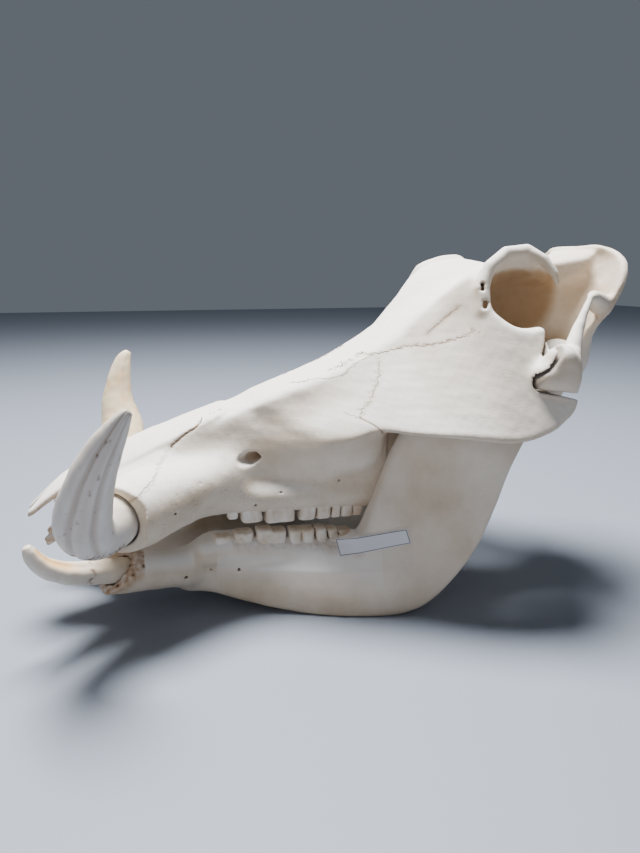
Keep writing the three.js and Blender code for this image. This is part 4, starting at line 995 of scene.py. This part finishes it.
upper_row = along([(50, 27.5), (150, 31)])
lower_row = along([(45, 27), (100, 29.5), (140, 31)])
teeth_row("upper_teeth", [(57.5, 64.5, 3.6, 62.4, 0.1, 0.3), (66.2, 80, 6, 59.8, -0.05, 0.3),
    (81, 91, 6.8, 55.9, 0, 0.3), (89.5, 100.6, 6.6, 55.4, 0, 2.2), (102, 113.4, 6.6, 54.5, 0.12, 0.3),
    (113, 123.4, 6.5, 54, 0.1, 0.5), (123, 130, 6.2, 53.6, 0.08, 0.5), (129.6, 138.4, 6, 52.8, 0.05, 0.5),
    (138, 146, 5.2, 52, 0, 0.5)], upper_row, 72, ("upper_p3", "upper_p4", "upper_m2", "upper_m3"))
teeth_row("lower_teeth", [(48.8, 60, 5.4, 52.4, 0, 0.3), (61, 74, 6.2, 54.2, 0, 0.3),
    (75, 85.6, 6.7, 55.2, 0, 0.3), (84, 95, 6.6, 53.6, 0.05, 2.2), (96, 104.6, 6.6, 53.4, 0, 0.3),
    (104, 113.4, 6.5, 53, 0, 1.2), (113, 121.4, 6.3, 52.6, -0.1, 0.5), (121, 128.6, 6, 51.6, -0.15, 0.5),
    (128, 137.5, 5.4, 50, -0.25, 0.5)], lower_row, 40, ("lower_p3", "lower_p4", "lower_m2", "lower_m3"))


# The front teeth: two small brown-stained pegs in the tip of the upper bone and four flat-lying
# ones between the lower tusks, worn short.
def peg_look(p, u, turn, carved):
    return {"warm": 0.9 + 0 * u, "facet": 0.3 + 0.3 * wobble(p, 6, 91),
        "groove": 0.35 + 0.4 * wobble(p, 4, 92), "pit": np.clip((u - 0.8) * 2, 0, 0.5)}


for side, hand in ((-1, "left"), (1, "right")):
    for node, path in (("upper_incisor_", [(-40, 9, 60, 3.3), (-44, 8.5, 57, 3.4), (-47, 8, 54, 3.2),
            (-51, 5.8, 49.4, 1.8)]), ("lower_incisor_1_", [(-8, 5, 34, 3.1), (-15, 5, 36, 3.3),
            (-22, 5, 38, 3.3), (-34, 4.6, 41, 1.7)]), ("lower_incisor_2_",
            [(-6, 13, 34, 3.1), (-13, 13.5, 36, 3.2), (-20, 14, 38, 3.1), (-30, 14, 41, 1.7)])):
        piece = tooth(node + hand, path, side, (0, 1, 0), [(1.6, 0.1, 0.4)], 0.8, 9, peg_look, 50, 32)
        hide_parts(node + hand)


# The label: a small blank piece of paper with a thin printed border, stuck on the left side of the
# jaw under a wide strip of clear tape.
paper, tree, shader = material("label_paper")
colour = mixed(tree, painted(tree, "border"), (0.70, 0.71, 0.76), (0.05, 0.05, 0.08))
tree.links.new(colour, shader.inputs["Base Color"])
sockets(shader, {"Roughness": 0.5})
film, tree, shader = material("clear_tape")
sockets(shader, {"Base Color": (0.80, 0.76, 0.68, 1), "Roughness": 0.22, "Alpha": 0.16,
    "Specular IOR Level": 0.35})


def patch(name, corners, lift, paint_it, shape=(240, 60)):
    u, v = [a.ravel() for a in np.meshgrid(np.linspace(0, 1, shape[0]), np.linspace(0, 1, shape[1]),
        indexing="ij")]
    a, b, c, d = [np.array(q) for q in corners]
    flat = (a * ((1 - u) * v)[:, None] + b * (u * v)[:, None] + c * (u * (1 - v))[:, None] + d
        * ((1 - u) * (1 - v))[:, None])
    places = np.stack([flat[:, 0], -branch_face(flat[:, 0], flat[:, 1]) - lift, flat[:, 1]], 1)
    index = np.arange(shape[0] * shape[1]).reshape(shape)
    quads = np.stack([index[:-1, :-1], index[1:, :-1], index[1:, 1:], index[:-1, 1:]], -1).reshape(-1, 4)
    piece = built(name, places, [quads])
    size = (np.linalg.norm(b - a), np.linalg.norm(a - d))
    near = np.minimum.reduce([u * size[0], (1 - u) * size[0], v * size[1], (1 - v) * size[1]])
    paint(piece, "border", (near > 0.25) & (near < 0.8))
    piece.data.materials.append(paint_it)
    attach(piece, "root")


patch("label", [(123.9, 47.9), (164.9, 57), (167.2, 48.1), (125.3, 38)], 0.35, paper)
patch("label_tape", [(115.8, 47), (168, 60), (168.1, 31), (118.9, 27.5)], 0.5, film, (60, 40))
